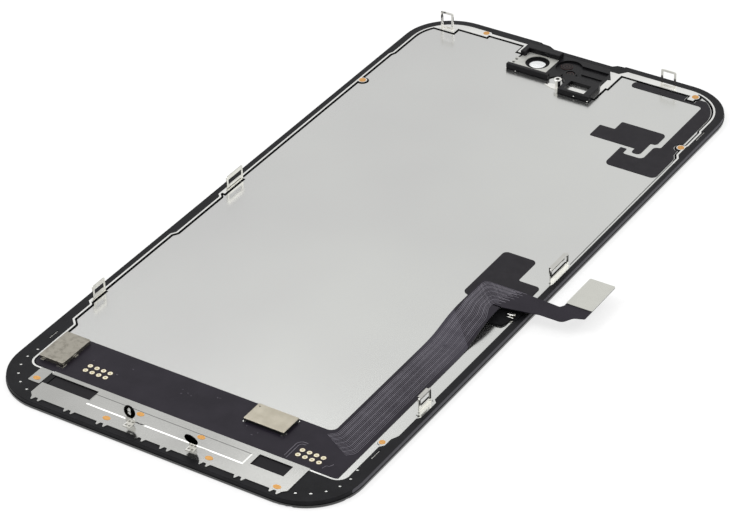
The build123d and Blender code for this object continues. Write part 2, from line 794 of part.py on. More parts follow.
tail_pad_height = 0.40
tail_pad_left = riser_right - 1.20
tail_pad_right = from_right(rim_right_waist + insert_width + 0.15)
tail_pad_low = tail_low - 4.7
tail_pad_high = tail_low + 1.3
tail_pad_top = plate_top + tail_pad_height
tongue_right = from_right(rim_right_waist - 0.45)
with BuildPart() as tail_pad:
    with BuildSketch(Plane.XY.offset(plate_top)):
        with BuildLine():
            FilletPolyline(
                (tail_pad_left, tail_pad_high),
                (tail_pad_right, tail_pad_high),
                (tail_pad_right, tail_pad_low + 1.6),
                (tail_pad_right - 0.6, tail_pad_low),
                (tail_pad_left, tail_pad_low - 0.5),
                radius=[0.2, 0.2, 0.6, 0.8, 0.5],
                close=True,
            )
        make_face()
        add(tape_limit, mode=Mode.INTERSECT)
    extrude(amount=tail_pad_height)
    with BuildSketch(Plane.XY.offset(bezel_top)):
        with Locations(((tail_pad_left + tongue_right) / 2, (tail_low - 2.1 + tail_pad_high) / 2)):
            Rectangle(tongue_right - tail_pad_left, tail_pad_high - tail_low + 2.1)
    extrude(amount=tail_pad_top - bezel_top)
finish(tail_pad, "tail_pad")

# Contact on the pad: a strip bent to a U, rolled at its two free edges, which face the foot end
loop_high = 0.62
loop_sheet = 0.06
loop_roll = 0.08
loop_length = 1.20
loop_front = tail_low - 1.90
loop_back = loop_front + 0.75
with BuildPart() as pad_contacts:
    with BuildSketch(Plane.YZ.offset(tail_pad_right - 0.85)):
        for edge_z in (tail_pad_top + loop_roll, tail_pad_top + loop_high + loop_roll):
            with Locations((loop_front, edge_z)):
                Circle(loop_roll)
            with Locations(((loop_front + loop_back) / 2, edge_z)):
                Rectangle(loop_back - loop_front, loop_sheet)
        with Locations((loop_back, tail_pad_top + loop_high / 2 + loop_roll)):
            Rectangle(loop_sheet, loop_high + loop_sheet)
    extrude(amount=loop_length)
finish(pad_contacts, "pad_contacts")

# Drawn can at the left end of the bar, with its solder tabs and the chip inside
can_left = bar_left + 0.4
can_right = can_left + 5.5
can_low = from_bottom(11.55)
can_high = from_bottom(20.05)
can_height = 0.88
can_wall = 0.12
can_lid = 0.20
can_step = 0.14
can_core = can_step + can_wall
can_centre = ((can_left + can_right) / 2, (can_low + can_high) / 2)
with BuildPart() as shield_can:
    with BuildSketch(Plane.XY.offset(flex_top)):
        with Locations(can_centre):
            Rectangle(can_right - can_left - 2 * can_step, can_high - can_low - 2 * can_step)
    extrude(amount=can_height)
    with BuildSketch(Plane.XY.offset(flex_top + can_height - can_lid)):
        with Locations(can_centre):
            RectangleRounded(can_right - can_left, can_high - can_low, 0.30)
    extrude(amount=can_lid)
    fillet(shield_can.edges().group_by(Axis.Z)[-1], radius=0.10)
    with BuildSketch(Plane.XY.offset(flex_top)):
        with Locations(can_centre):
            Rectangle(can_right - can_left - 2 * can_core, can_high - can_low - 2 * can_core)
    extrude(amount=can_height - can_wall, mode=Mode.SUBTRACT)
finish(shield_can, "shield_can")

with BuildPart() as power_chip:
    with BuildSketch(Plane.XY.offset(flex_top)):
        with Locations(can_centre):
            Rectangle(can_right - can_left - 1.2, can_high - can_low - 1.6)
    extrude(amount=can_height - can_wall - 0.1)
finish(power_chip, "power_chip")

can_tabs = [
    (can_right + 0.08, can_low + 3.9, 0.24, 1.0),
    (can_right + 0.14, can_low + 0.2, 0.18, 1.3),
    (can_right - 0.52, can_low - 0.36, 1.5, 0.18),
    (can_left + 0.8, can_low - 0.10, 0.8, 0.24),
]
with BuildPart() as can_solder_tabs:
    with BuildSketch(Plane.XY.offset(flex_top)):
        for x, y, width, depth in can_tabs:
            with Locations((x, y)):
                Rectangle(width, depth)
    extrude(amount=0.14)
finish(can_solder_tabs, "can_solder_tabs")

# Touch chip towards the right end of the bar: black body, metal lid, corner tabs
touch_left = from_right(27.6)
touch_right = touch_left + 8.6
touch_low = from_bottom(15.1)
touch_high = from_bottom(20.1)
touch_height = 0.62
touch_lid = 0.08
touch_centre = ((touch_left + touch_right) / 2, (touch_low + touch_high) / 2)
with BuildPart() as touch_chip:
    with BuildSketch(Plane.XY.offset(flex_top)):
        with Locations(touch_centre):
            Rectangle(touch_right - touch_left - 0.1, touch_high - touch_low - 0.1)
    extrude(amount=touch_height)
finish(touch_chip, "touch_chip")

with BuildPart() as touch_chip_lid:
    with BuildSketch(Plane.XY.offset(flex_top + touch_height)):
        with Locations(touch_centre):
            RectangleRounded(touch_right - touch_left, touch_high - touch_low, 0.15)
    extrude(amount=touch_lid)
finish(touch_chip_lid, "touch_chip_lid")

touch_tabs = [
    (touch_left + 0.3, touch_low - 0.15, 0.6, 0.3),
    (touch_right - 0.3, touch_low - 0.15, 0.6, 0.3),
    (touch_right + 0.12, touch_low + 0.45, 0.24, 0.7),
    (touch_right + 0.12, touch_high - 0.45, 0.24, 0.7),
]
with BuildPart() as touch_solder_tabs:
    with BuildSketch(Plane.XY.offset(flex_top)):
        for x, y, width, depth in touch_tabs:
            with Locations((x, y)):
                Rectangle(width, depth)
    extrude(amount=0.16)
finish(touch_solder_tabs, "touch_solder_tabs")

# Test pads: two blocks of four by two
test_pad_radius = 0.52
test_blocks = [
    ("test_pads_left", from_left(16.38), from_bottom(13.65), 1.49),
    ("test_pads_right", from_right(11.80), from_bottom(12.72), 1.46),
]
for label, block_x, block_y, pitch in test_blocks:
    with BuildPart() as test_pads:
        with BuildSketch(Plane.XY.offset(flex_top)):
            with Locations((block_x, block_y)):
                with GridLocations(pitch, pitch, 4, 2):
                    Circle(test_pad_radius)
        extrude(amount=pad_height)
    finish(test_pads, label)

# Black tapes on the plate below the upper right corner
tape_right = from_right(rim_right_dip + 1.0)
with BuildPart() as corner_tape:
    with BuildSketch(Plane.XY.offset(plate_top)):
        with BuildLine():
            tape_corners = [
                (from_right(23.0), from_top(4.25), 0.9),
                (tape_right - 0.25, from_top(4.25), 3.2),
                (tape_right - 0.25, from_top(21.5), 0.3),
                (tape_right + 0.35, from_top(24.5), 0.6),
                (from_right(rim_right + 0.85), from_top(27.2), 0.3),
                (from_right(rim_right + 0.85), from_top(35.5), 1.2),
                (from_right(13.4), from_top(35.5), 1.2),
                (from_right(13.4), from_top(28.5), 0.2),
                (from_right(12.0), from_top(28.5), 0.2),
                (from_right(12.0), from_top(30.4), 0.6),
                (from_right(7.5), from_top(30.4), 1.0),
                (from_right(7.5), from_top(25.3), 0.9),
                (from_right(6.2), from_top(24.9), 0.5),
                (from_right(6.2), from_top(6.45), 1.0),
                (from_right(23.0), from_top(6.45), 0.9),
            ]
            tape_points = [(x, y) for x, y, radius in tape_corners]
            tape_rounds = [radius for x, y, radius in tape_corners]
            FilletPolyline(*tape_points, radius=tape_rounds, close=True)
        make_face()
        add(tape_limit, mode=Mode.INTERSECT)
    extrude(amount=tape_thickness)
finish(corner_tape, "corner_tape")

with BuildPart() as inner_tape:
    with BuildSketch(Plane.XY.offset(plate_top)):
        with BuildLine():
            patch_corners = [
                (from_right(21.1), from_top(23.05), 0.3),
                (from_right(17.7), from_top(23.05), 0.2),
                (from_right(17.7), from_top(19.85), 0.4),
                (from_right(7.5), from_top(19.85), 1.0),
                (from_right(7.5), from_top(24.25), 0.8),
                (from_right(8.8), from_top(24.25), 0.3),
                (from_right(8.8), from_top(29.15), 0.9),
                (from_right(10.7), from_top(29.15), 0.5),
                (from_right(10.7), from_top(27.5), 0.2),
                (from_right(21.1), from_top(27.5), 0.3),
            ]
            patch_points = [(x, y) for x, y, radius in patch_corners]
            patch_rounds = [radius for x, y, radius in patch_corners]
            FilletPolyline(*patch_points, radius=patch_rounds, close=True)
        make_face()
    extrude(amount=tape_thickness)
finish(inner_tape, "inner_tape")

# Moulded bracket for the front camera and the sensors
bar_front = from_top(sensor_bar_margin)
bar_back = from_top(12.15)
wall_front = camera_y + 3.0
wall_back = wall_front + 1.9
block_front = from_top(16.55)
block_back = from_top(10.35)
window_left = post_x + 2.20
window_right = sensor_right - 1.50
window_low = block_front + 0.60
window_high = block_back - 2.20
window_floor = bezel_top + 0.20
pocket_wall = 1.10
pocket_step = from_top(6.80)
recess_x = 0.0
recess_y = from_top(6.45)
recess_radius = 2.9
channel_right = sensor_right - 1.5
channel_back = from_top(4.55)
lens_x = 1.3
lens_y = from_top(8.30)
lens_radius = 1.15
pocket_floor = cushion_top + sensor_floor
recess_floor = bezel_top - 0.40
with BuildPart() as sensor_bracket:
    with BuildSketch(Plane.XY.offset(cushion_top)):
        add(footprint_plan)
    extrude(amount=bezel_top - cushion_top)
    with BuildSketch(Plane.XY.offset(bezel_top)):
        with Locations(((sensor_left + post_x - 3.2) / 2, (bar_front + bar_back) / 2)):
            Rectangle(post_x - 3.2 - sensor_left, bar_back - bar_front)
        with Locations(((sensor_left + pocket_right) / 2, (wall_front + wall_back) / 2)):
            Rectangle(pocket_right - sensor_left, wall_back - wall_front)
        with Locations((sensor_left + pocket_wall / 2, (pocket_step + wall_back) / 2)):
            Rectangle(pocket_wall, wall_back - pocket_step)
        with BuildSketch(mode=Mode.PRIVATE) as block:
            with Locations(((post_x + sensor_right) / 2, (block_front + block_back) / 2)):
                Rectangle(sensor_right - post_x + 1.0, block_back - block_front)
            add(footprint_plan, mode=Mode.INTERSECT)
        add(block.sketch)
    extrude(amount=sensor_top - bezel_top)
    chamfer(sensor_bracket.edges().group_by(Axis.Z)[-1], length=0.12)
    with BuildSketch(Plane.XY.offset(pocket_floor)):
        with Locations(((sensor_left + pocket_wall + pocket_right) / 2, (bar_back + wall_front) / 2)):
            Rectangle(pocket_right - sensor_left - pocket_wall, wall_front - bar_back)
        with Locations((sensor_left + pocket_wall / 2, (bar_back + pocket_step) / 2)):
            Rectangle(pocket_wall + 0.1, pocket_step - bar_back)
    extrude(amount=sensor_top, mode=Mode.SUBTRACT)
    with BuildSketch(Plane.XY.offset(window_floor)):
        with Locations(((window_left + window_right) / 2, (window_low + window_high) / 2)):
            Rectangle(window_right - window_left, window_high - window_low)
    extrude(amount=sensor_top, mode=Mode.SUBTRACT)
    with BuildSketch(Plane.XY.offset(cushion_top)):
        with Locations((camera_x, camera_y)):
            Circle(camera_seat)
    extrude(amount=sensor_top, mode=Mode.SUBTRACT)
    with BuildSketch(Plane.XY.offset(recess_floor)):
        with Locations((recess_x, recess_y)):
            Circle(recess_radius)
        with Locations(((recess_x + channel_right) / 2, (block_back + channel_back) / 2)):
            Rectangle(channel_right - recess_x, channel_back - block_back)
    extrude(amount=bezel_top - recess_floor, mode=Mode.SUBTRACT)
    with BuildSketch(Plane.XY.offset(recess_floor)):
        for rib_y in (block_back + 1.5, block_back + 3.1):
            with Locations(((recess_x + 3.4 + channel_right) / 2, rib_y)):
                Rectangle(channel_right - recess_x - 3.4, 0.3)
    extrude(amount=0.24)
    with BuildSketch(Plane.XY.offset(recess_floor)):
        with Locations((lens_x, lens_y)):
            Circle(lens_radius + 0.25)
    extrude(amount=bezel_top - recess_floor - 0.06)
    with BuildSketch(Plane.XY.offset(recess_floor)):
        with Locations((lens_x, lens_y)):
            Circle(lens_radius - 0.15)
    extrude(amount=bezel_top, mode=Mode.SUBTRACT)
finish(sensor_bracket, "sensor_bracket")

with BuildPart() as sensor_lens:
    with BuildSketch(Plane.XY.offset(recess_floor)):
        with Locations((lens_x, lens_y)):
            Circle(lens_radius - 0.2)
    extrude(amount=0.2)
    fillet(sensor_lens.edges().group_by(Axis.Z)[-1], radius=0.12)
finish(sensor_lens, "sensor_lens")

with BuildPart() as sensor_window:
    with BuildSketch(Plane.XY.offset(recess_floor)):
        with Locations((recess_x - 0.9, recess_y + 0.6)):
            Circle(1.3)
    extrude(amount=0.16)
    fillet(sensor_window.edges().group_by(Axis.Z)[-1], radius=0.10)
finish(sensor_window, "sensor_window")

# Silver plate in the camera pocket, its grounding fingers on the open side
finger_length = 0.90
with BuildPart() as camera_plate:
    with BuildSketch(Plane.XY.offset(pocket_floor)):
        with Locations(((sensor_left + pocket_right) / 2 + 0.2, (bar_back + wall_front) / 2)):
            Rectangle(pocket_right - sensor_left - 0.5, wall_front - bar_back - 0.1)
        for finger_y in (camera_y - 0.3, camera_y - 1.6, camera_y - 2.9):
            with Locations((sensor_left + 0.1, finger_y)):
                Rectangle(finger_length, 0.7)
        with Locations((camera_x, camera_y)):
            Circle(camera_seat, mode=Mode.SUBTRACT)
        with Locations((sensor_left + pocket_wall / 2 - 0.4, (pocket_step + wall_front) / 2)):
            Rectangle(pocket_wall + 0.9, wall_front - pocket_step + 0.1, mode=Mode.SUBTRACT)
    extrude(amount=insert_thickness)
    with BuildSketch(Plane.XY.offset(pocket_floor + insert_thickness)):
        with Locations((camera_x, camera_y)):
            Circle(camera_seat + 0.25)
    extrude(amount=-0.06, mode=Mode.SUBTRACT)
finish(camera_plate, "camera_plate")

# Black stepped funnel ring between the camera hole and the bracket
seal_top = pocket_floor + insert_thickness - 0.12
seal_step = 0.09
with BuildPart() as camera_seal:
    with BuildSketch(Plane.XZ.offset(-camera_y)):
        with BuildLine():
            Polyline(
                (camera_x + camera_hole, panel_top),
                (camera_x + camera_seat - 0.05, panel_top),
                (camera_x + camera_seat - 0.05, seal_top),
                (camera_x + camera_seat - 0.30, seal_top),
                (camera_x + camera_seat - 0.30, seal_top - seal_step),
                (camera_x + camera_seat - 0.48, seal_top - seal_step),
                (camera_x + camera_seat - 0.48, seal_top - 2 * seal_step),
                (camera_x + camera_seat - 0.66, seal_top - 2 * seal_step),
                (camera_x + camera_seat - 0.66, seal_top - 3 * seal_step),
                (camera_x + camera_hole, seal_top - 3 * seal_step),
                close=True,
            )
        make_face()
    revolve(axis=Axis((camera_x, camera_y, 0), (0, 0, 1)))
finish(camera_seal, "camera_seal")

# Slit silver plate seen through the window of the sensor bracket
with BuildPart() as window_plate:
    with BuildSketch(Plane.XY.offset(window_floor)):
        with Locations(((window_left + window_right) / 2, (window_low + window_high) / 2)):
            Rectangle(window_right - window_left - 0.1, window_high - window_low - 0.1)
        with Locations(((window_left + window_right) / 2 + 0.2, window_high - 1.0)):
            SlotOverall(window_right - window_left - 1.0, 0.16, mode=Mode.SUBTRACT)
        with Locations((window_left + 0.60, window_high - 1.0)):
            Circle(0.25, mode=Mode.SUBTRACT)
    extrude(amount=insert_thickness)
finish(window_plate, "window_plate")

# Threaded post on its sheet tongue in front of the sensor bracket
post_y = from_top(post_from_top)
with BuildPart() as screw_post:
    with BuildSketch(Plane.XY.offset(plate_top)):
        with BuildLine():
            FilletPolyline(
                (post_x - 3.0, post_y + 0.15),
                (post_x - 0.2, post_y + 1.0),
                (post_x + 0.95, post_y + 0.6),
                (post_x + 0.95, post_y - 1.1),
                (post_x - 1.0, post_y - 1.1),
                (post_x - 3.0, post_y - 0.35),
                radius=[0.2, 0.5, 0.3, 0.5, 0.6, 0.2],
                close=True,
            )
        make_face()
    extrude(amount=0.12)
    with BuildSketch(Plane.XY.offset(plate_top)):
        with Locations((post_x, post_y)):
            Circle(post_stem_radius)
    extrude(amount=post_height)
    with BuildSketch(Plane.XY.offset(plate_top + post_height - post_flange)):
        with Locations((post_x, post_y)):
            Circle(post_radius)
    extrude(amount=post_flange)
    chamfer(screw_post.edges().group_by(Axis.Z)[-1], length=0.06)
    with Locations((post_x, post_y, plate_top + post_height)):
        Hole(post_bore, depth=post_height - 0.3)
finish(screw_post, "screw_post")

# Spring clips on the insert ring: name, x, y, turn, width, height, leg, top band, sill, lip
clips = [
    ("clip_top_left", from_left(6.55), from_top(4.75), 0, 3.1, 3.85, 0.50, 0.48, 0.35, 0.0),
    ("clip_top_right", from_right(16.0), from_top(2.65), 0, 3.5, 3.80, 0.50, 0.48, 0.35, 0.0),
    ("clip_left_upper", from_left(2.10), clip_left_high, 90, 5.5, 3.05, 0.55, 0.80, 0.98, 0.0),
    ("clip_left_lower", from_left(2.00), clip_left_low - 0.2, 90, 3.8, 3.05, 0.55, 0.85, 0.95, 0.0),
    ("clip_right_upper", from_right(1.85), clip_right_high, -90, 6.9, 3.00, 0.50, 0.50, 0.80, 1.5),
    ("clip_right_lower", from_right(2.05), clip_right_low, -90, 4.1, 3.00, 0.55, 0.55, 0.90, 1.2),
]
clip_foot = 0.20
loop_foot = 0.85
lip_reach = 0.45
for label, x, y, turn, width, height, leg, top_band, sill, lip in clips:
    # local x runs along the clip, local y points away from the middle of the display
    facing = Plane(
        origin=(x, y, insert_top),
        x_dir=(cos(radians(turn)), sin(radians(turn)), 0),
        z_dir=(0, 0, 1),
    )
    upright = Plane(facing.origin, x_dir=facing.x_dir, z_dir=-facing.y_dir)
    foot = clip_foot
    if turn == 0:
        foot = loop_foot
    with BuildPart() as clip:
        with BuildSketch(facing):
            with Locations((0, -foot / 2)):
                Rectangle(width, foot + clip_sheet)
            if turn == 0:
                with Locations((0, -foot * 0.62)):
                    Rectangle(width - 3.2 * leg, foot * 0.4, mode=Mode.SUBTRACT)
        extrude(amount=clip_sheet * 0.6)
        with BuildSketch(upright):
            with Locations((0, height / 2)):
                RectangleRounded(width, height, 0.3)
            with Locations((0, (sill + height - top_band) / 2)):
                Rectangle(width - 2 * leg, height - top_band - sill, mode=Mode.SUBTRACT)
        extrude(amount=clip_sheet)
        if lip:
            with BuildSketch(upright.offset(clip_sheet)):
                with Locations((0, height - top_band / 2)):
                    Rectangle(width - 2 * leg, top_band)
            extrude(amount=lip_reach)
            with BuildSketch(upright.offset(clip_sheet + lip_reach - clip_sheet * 0.75)):
                with Locations((0, height - lip / 2)):
                    Rectangle(width - 2 * leg, lip)
            extrude(amount=clip_sheet * 0.75)
    finish(clip, label)

# Spring contacts standing on the bottom bracket: name, x, riser width, riser height, tilt of the
# head towards the foot end, head width, head height, slot in the head
contacts = [
    ("contact_spring_left", -6.55, 2.00, 1.50, 0.0, 2.40, 2.68, True),
    ("contact_spring_right", 6.98, 1.60, 0.95, 18.0, 2.70, 2.78, False),
]
contact_sheet = 0.15
contact_foot = 1.20
contact_root = 1.30
contact_neck = 1.00
contact_y = from_bottom(3.90)
for label, x, riser_wide, riser_high, tilt, head_wide, head_high, slot in contacts:
    # the upright sheet faces the foot end, its local y points up
    upright = Plane(origin=(x, contact_y, bracket_top), x_dir=(1, 0, 0), z_dir=(0, -1, 0))
    leaning = Plane(
        origin=(x, contact_y, bracket_top + riser_high),
        x_dir=(1, 0, 0),
        z_dir=(0, -cos(radians(tilt)), -sin(radians(tilt))),
    )
    with BuildPart() as contact:
        with BuildSketch(upright):
            with BuildLine():
                Polyline(
                    (-contact_root / 2, 0),
                    (contact_root / 2, 0),
                    (riser_wide / 2, riser_high * 0.35),
                    (riser_wide / 2, riser_high * 0.85),
                    (contact_neck / 2, riser_high + 0.02),
                    (-contact_neck / 2, riser_high + 0.02),
                    (-riser_wide / 2, riser_high * 0.85),
                    (-riser_wide / 2, riser_high * 0.35),
                    close=True,
                )
            make_face()
        extrude(amount=contact_sheet)
        with BuildSketch(leaning):
            with Locations((0, head_high / 2 - 0.06)):
                Ellipse(head_wide / 2, head_high / 2)
            with Locations((0, 0.15)):
                Rectangle(contact_neck, 0.5)
            if slot:
                with Locations((0, head_high / 2)):
                    SlotOverall(head_high * 0.62, head_wide * 0.24, rotation=90, mode=Mode.SUBTRACT)
        extrude(amount=contact_sheet)
        if slot:
            with BuildSketch(leaning):
                with Locations((0, head_high / 2)):
                    Rectangle(head_wide * 0.4, 0.16)
            extrude(amount=contact_sheet)
        with BuildSketch(Plane.XY.offset(bracket_top)):
            with Locations((x - 0.15, contact_y - contact_foot / 2)):
                Rectangle(contact_root + 0.25, contact_foot)
            for hole_x in (x - 0.5, x + 0.2):
                with Locations((hole_x, contact_y - contact_foot * 0.56)):
                    Rectangle(0.45, 0.5, mode=Mode.SUBTRACT)
        extrude(amount=contact_sheet)
    finish(contact, label)
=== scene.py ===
import math

import bmesh
import bpy
import numpy as np
from mathutils import Matrix, Vector


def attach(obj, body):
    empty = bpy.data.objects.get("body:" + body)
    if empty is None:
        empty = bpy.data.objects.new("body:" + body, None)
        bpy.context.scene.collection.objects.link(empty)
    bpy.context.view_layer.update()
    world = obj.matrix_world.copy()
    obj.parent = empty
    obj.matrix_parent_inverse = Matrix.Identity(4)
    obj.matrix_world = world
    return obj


# Display assembly seen from its steel back. Lengths in the dictionaries are millimetres.
mm = 0.001

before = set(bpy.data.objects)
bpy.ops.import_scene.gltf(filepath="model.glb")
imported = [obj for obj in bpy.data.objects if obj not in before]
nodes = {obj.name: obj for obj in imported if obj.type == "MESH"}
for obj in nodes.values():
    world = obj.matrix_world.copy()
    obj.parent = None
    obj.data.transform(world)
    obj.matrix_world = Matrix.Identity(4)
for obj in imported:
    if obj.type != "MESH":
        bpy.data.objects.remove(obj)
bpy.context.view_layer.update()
print("frame loaded,", len(nodes), "nodes")


def toLinear(hexColour):
    # sRGB hex to linear: the usual two-part curve, alpha 1
    channels = np.array([int(hexColour[i:i + 2], 16) for i in (1, 3, 5)]) / 255
    linear = np.where(channels <= 0.04045, channels / 12.92, ((channels + 0.055) / 1.055) ** 2.4)
    return (*(float(c) for c in linear), 1.0)


def addNode(tree, kind, settings=None, links=None):
    # one node: settings go to sockets of that name, or else to the node itself; links come from sockets
    node = tree.nodes.new(kind)
    for key, value in (settings or {}).items():
        if isinstance(key, int) or key in node.inputs:
            node.inputs[key].default_value = value
        else:
            setattr(node, key, value)
    for key, source in (links or {}).items():
        tree.links.new(source, node.inputs[key])
    return node


def newFinish(name):
    # empty material with its output, and Object coordinates for the patterns
    finish = bpy.data.materials.new(name)
    finish.use_nodes = True
    tree = finish.node_tree
    tree.nodes.clear()
    coords = addNode(tree, "ShaderNodeTexCoord")
    return finish, tree, coords.outputs["Object"]


def maths(tree, operation, *values, kind="ShaderNodeMath", result="Value"):
    # one operation on sockets or plain values, taken in the order of the node's inputs
    node = addNode(tree, kind, {"operation": operation})
    for index, value in enumerate(values):
        if isinstance(value, bpy.types.NodeSocket):
            tree.links.new(value, node.inputs[index])
        else:
            node.inputs[index].default_value = value
    return node.outputs[result]


def vectorMaths(tree, operation, *values):
    # the same on vectors; lengths, distances and dot products come out as one number
    result = "Value" if operation in ("LENGTH", "DISTANCE", "DOT_PRODUCT") else "Vector"
    return maths(tree, operation, *values, kind="ShaderNodeVectorMath", result=result)


def split(tree, vector):
    # the x, y and z of a vector
    return tuple(addNode(tree, "ShaderNodeSeparateXYZ", links={"Vector": vector}).outputs)


def joined(tree, x, y):
    # a vector of x and y, with z at zero
    return addNode(tree, "ShaderNodeCombineXYZ", links={"X": x, "Y": y}).outputs["Vector"]


def noise(tree, vector, size, detail, roughness=0.5):
    # fractal noise from 0 to 1 whose grain is this many millimetres
    settings = {"Scale": 1 / (size * mm), "Detail": detail, "Roughness": roughness}
    return addNode(tree, "ShaderNodeTexNoise", settings, {"Vector": vector}).outputs["Fac"]


def ramp(tree, source, low, high, stops):
    # two-stop colour ramp between two hex colours
    node = addNode(tree, "ShaderNodeValToRGB", links={"Fac": source})
    for element, stop, colour in zip(node.color_ramp.elements, stops, (low, high)):
        element.position = stop
        element.color = toLinear(colour)
    return node.outputs["Color"]


def spread(tree, source, low, high):
    # a 0 to 1 pattern brought to the range low to high
    settings = {"To Min": low, "To Max": high}
    return addNode(tree, "ShaderNodeMapRange", settings, {"Value": source}).outputs["Result"]


def mixColours(tree, share, low, high):
    # low at share 0 and high at share 1, each a socket or a hex colour
    node = addNode(tree, "ShaderNodeMix", {"data_type": "RGBA"}, {0: share})
    for index, colour in ((6, low), (7, high)):
        if isinstance(colour, str):
            node.inputs[index].default_value = toLinear(colour)
        else:
            tree.links.new(colour, node.inputs[index])
    return node.outputs[2]


def relief(tree, height, strength, depth):
    # bump from a 0 to 1 pattern, its depth in millimetres
    settings = {"Strength": strength, "Distance": depth * mm}
    return addNode(tree, "ShaderNodeBump", settings, {"Height": height}).outputs["Normal"]


def principled(tree, settings, links):
    # surface shader wired to the material's output
    shader = addNode(tree, "ShaderNodeBsdfPrincipled", settings, links)
    addNode(tree, "ShaderNodeOutputMaterial", links={"Surface": shader.outputs["BSDF"]})


def patched(tree, coords, colour, patches):
    # other colour inside each box: |point - centre| less the half size is below zero on all three axes
    for low, high, hexColour in patches:
        centre = tuple((a + b) / 2 * mm for a, b in zip(low, high))
        half = tuple((b - a) / 2 * mm for a, b in zip(low, high))
        away = vectorMaths(tree, "ABSOLUTE", vectorMaths(tree, "SUBTRACT", coords, centre))
        x, y, z = split(tree, vectorMaths(tree, "SUBTRACT", away, half))
        most = maths(tree, "MAXIMUM", maths(tree, "MAXIMUM", x, y), z)
        colour = mixColours(tree, maths(tree, "LESS_THAN", most, 0.0), colour, hexColour)
    return colour


# shared by the finishes: bump depths in millimetres, where the colour ramps of plastic and plating run, and
# how strong the plating's bump is
steelGrainDepth = 0.01
plasticGrainDepth = 0.02
plasticStops = (0.35, 0.75)
platingStops = (0.3, 0.7)
platingBump = 0.25


def rolledSteel(name, look):
    # cold-rolled or pressed steel sheet: fine grain along one axis, broad soft tone change
    finish, tree, coords = newFinish(name)
    stretched = addNode(tree, "ShaderNodeMapping", {"Scale": look["stretch"]}, {"Vector": coords})
    grain = noise(tree, stretched.outputs["Vector"], look["grain"], 3.0, 0.6)
    cloud = noise(tree, coords, look["cloud"], 2.0)
    tilt = vectorMaths(tree, "DOT_PRODUCT", coords, look.get("slope", (0, 0, 0)))
    tone = maths(tree, "MULTIPLY_ADD", grain, look["grainShare"], maths(tree, "ADD", cloud, tilt))
    colour = ramp(tree, tone, look["dark"], look["light"], look["stops"])
    principled(tree, {"Metallic": look["metallic"], "Specular Tint": toLinear(look.get("edge", "#FFFFFF"))},
               {"Base Color": patched(tree, coords, colour, look.get("patches", [])),
                "Roughness": spread(tree, grain, *look["roughness"]),
                "Normal": relief(tree, grain, look["bump"], steelGrainDepth)})
    return finish


def mouldedPlastic(name, look):
    # injection moulded plastic: even dark body, spark-eroded grain that breaks the gloss, paler scuffs
    finish, tree, coords = newFinish(name)
    grain = noise(tree, coords, look["grain"], 4.0, 0.65)
    scuff = noise(tree, coords, look["scuff"], 5.0, 0.7)
    colour = ramp(tree, scuff, look["dark"], look["light"], plasticStops)
    principled(tree, {"Specular IOR Level": look["specular"]},
               {"Base Color": patched(tree, coords, colour, look.get("patches", [])),
                "Roughness": spread(tree, grain, *look["roughness"]),
                "Normal": relief(tree, grain, look["bump"], plasticGrainDepth)})
    return finish


def coverlay(name, look):
    # black polyimide film: even dark body, fine weave, and a painted sheen, paler where it bends up
    finish, tree, coords = newFinish(name)
    weave = noise(tree, coords, look["grain"], 4.0, 0.65)
    cloud = noise(tree, coords, look["scuff"], 4.0)
    colour = ramp(tree, cloud, look["dark"], look["light"], plasticStops)
    # painted sheen: fades in along y over the bend and ends at the slanting edge x + y = edge
    x, y = split(tree, coords)[:2]
    before = maths(tree, "LESS_THAN", maths(tree, "ADD", x, y), look["edge"] * mm)
    riser = maths(tree, "GREATER_THAN", x, look["riserLeft"] * mm)
    fade = addNode(tree, "ShaderNodeMapRange",
                   {"interpolation_type": "SMOOTHSTEP", "From Min": look["fade"][0] * mm,
                    "From Max": look["fade"][1] * mm, "To Max": look["paintedSheenStrength"]}, {"Value": y})
    share = maths(tree, "MULTIPLY", maths(tree, "MULTIPLY", before, riser), fade.outputs["Result"])
    body = patched(tree, coords, colour, look["patches"])
    principled(tree, {"Specular IOR Level": look["specular"]},
               {"Base Color": mixColours(tree, share, body, look["paintedSheenColour"]),
                "Roughness": spread(tree, weave, *look["roughness"]),
                "Normal": relief(tree, weave, look["bump"], plasticGrainDepth)})
    return finish


def inkedGlass(name, look):
    # strengthened glass printed black from inside: deep gloss, lit area a shade lighter, clear camera window
    finish, tree, coords = newFinish(name)
    x, y = split(tree, coords)[:2]
    # lit area: distance to a rounded rectangle, worked out from |x| and |y| less the half sizes
    over = []
    for axis, half in zip((x, y), look["litHalf"]):
        beyond = maths(tree, "SUBTRACT", maths(tree, "ABSOLUTE", axis), (half - look["litCorner"]) * mm)
        over.append(maths(tree, "MAXIMUM", beyond, 0.0))
    inside = maths(tree, "LESS_THAN", vectorMaths(tree, "LENGTH", joined(tree, *over)), look["litCorner"] * mm)
    smear = noise(tree, coords, look["smear"], 3.0)
    gloss = addNode(tree, "ShaderNodeBsdfPrincipled",
                    {"IOR": look["ior"], "Coat Weight": look["coat"], "Coat Roughness": look["coatRoughness"]},
                    {"Base Color": mixColours(tree, inside, look["ink"], look["lit"]),
                     "Roughness": spread(tree, smear, *look["roughness"])})
    clear = addNode(tree, "ShaderNodeBsdfPrincipled",
                    {"Base Color": toLinear(look["window"]), "Transmission Weight": 1.0, "Roughness": 0.0,
                     "IOR": look["ior"]})
    # camera window: inside the circle round the lens
    lens = (look["lens"][0] * mm, look["lens"][1] * mm, 0)
    fromLens = vectorMaths(tree, "DISTANCE", joined(tree, x, y), lens)
    window = maths(tree, "LESS_THAN", fromLens, look["lensRadius"] * mm)
    both = addNode(tree, "ShaderNodeMixShader",
                   links={0: window, 1: gloss.outputs["BSDF"], 2: clear.outputs["BSDF"]})
    addNode(tree, "ShaderNodeOutputMaterial", links={"Surface": both.outputs["Shader"]})
    return finish


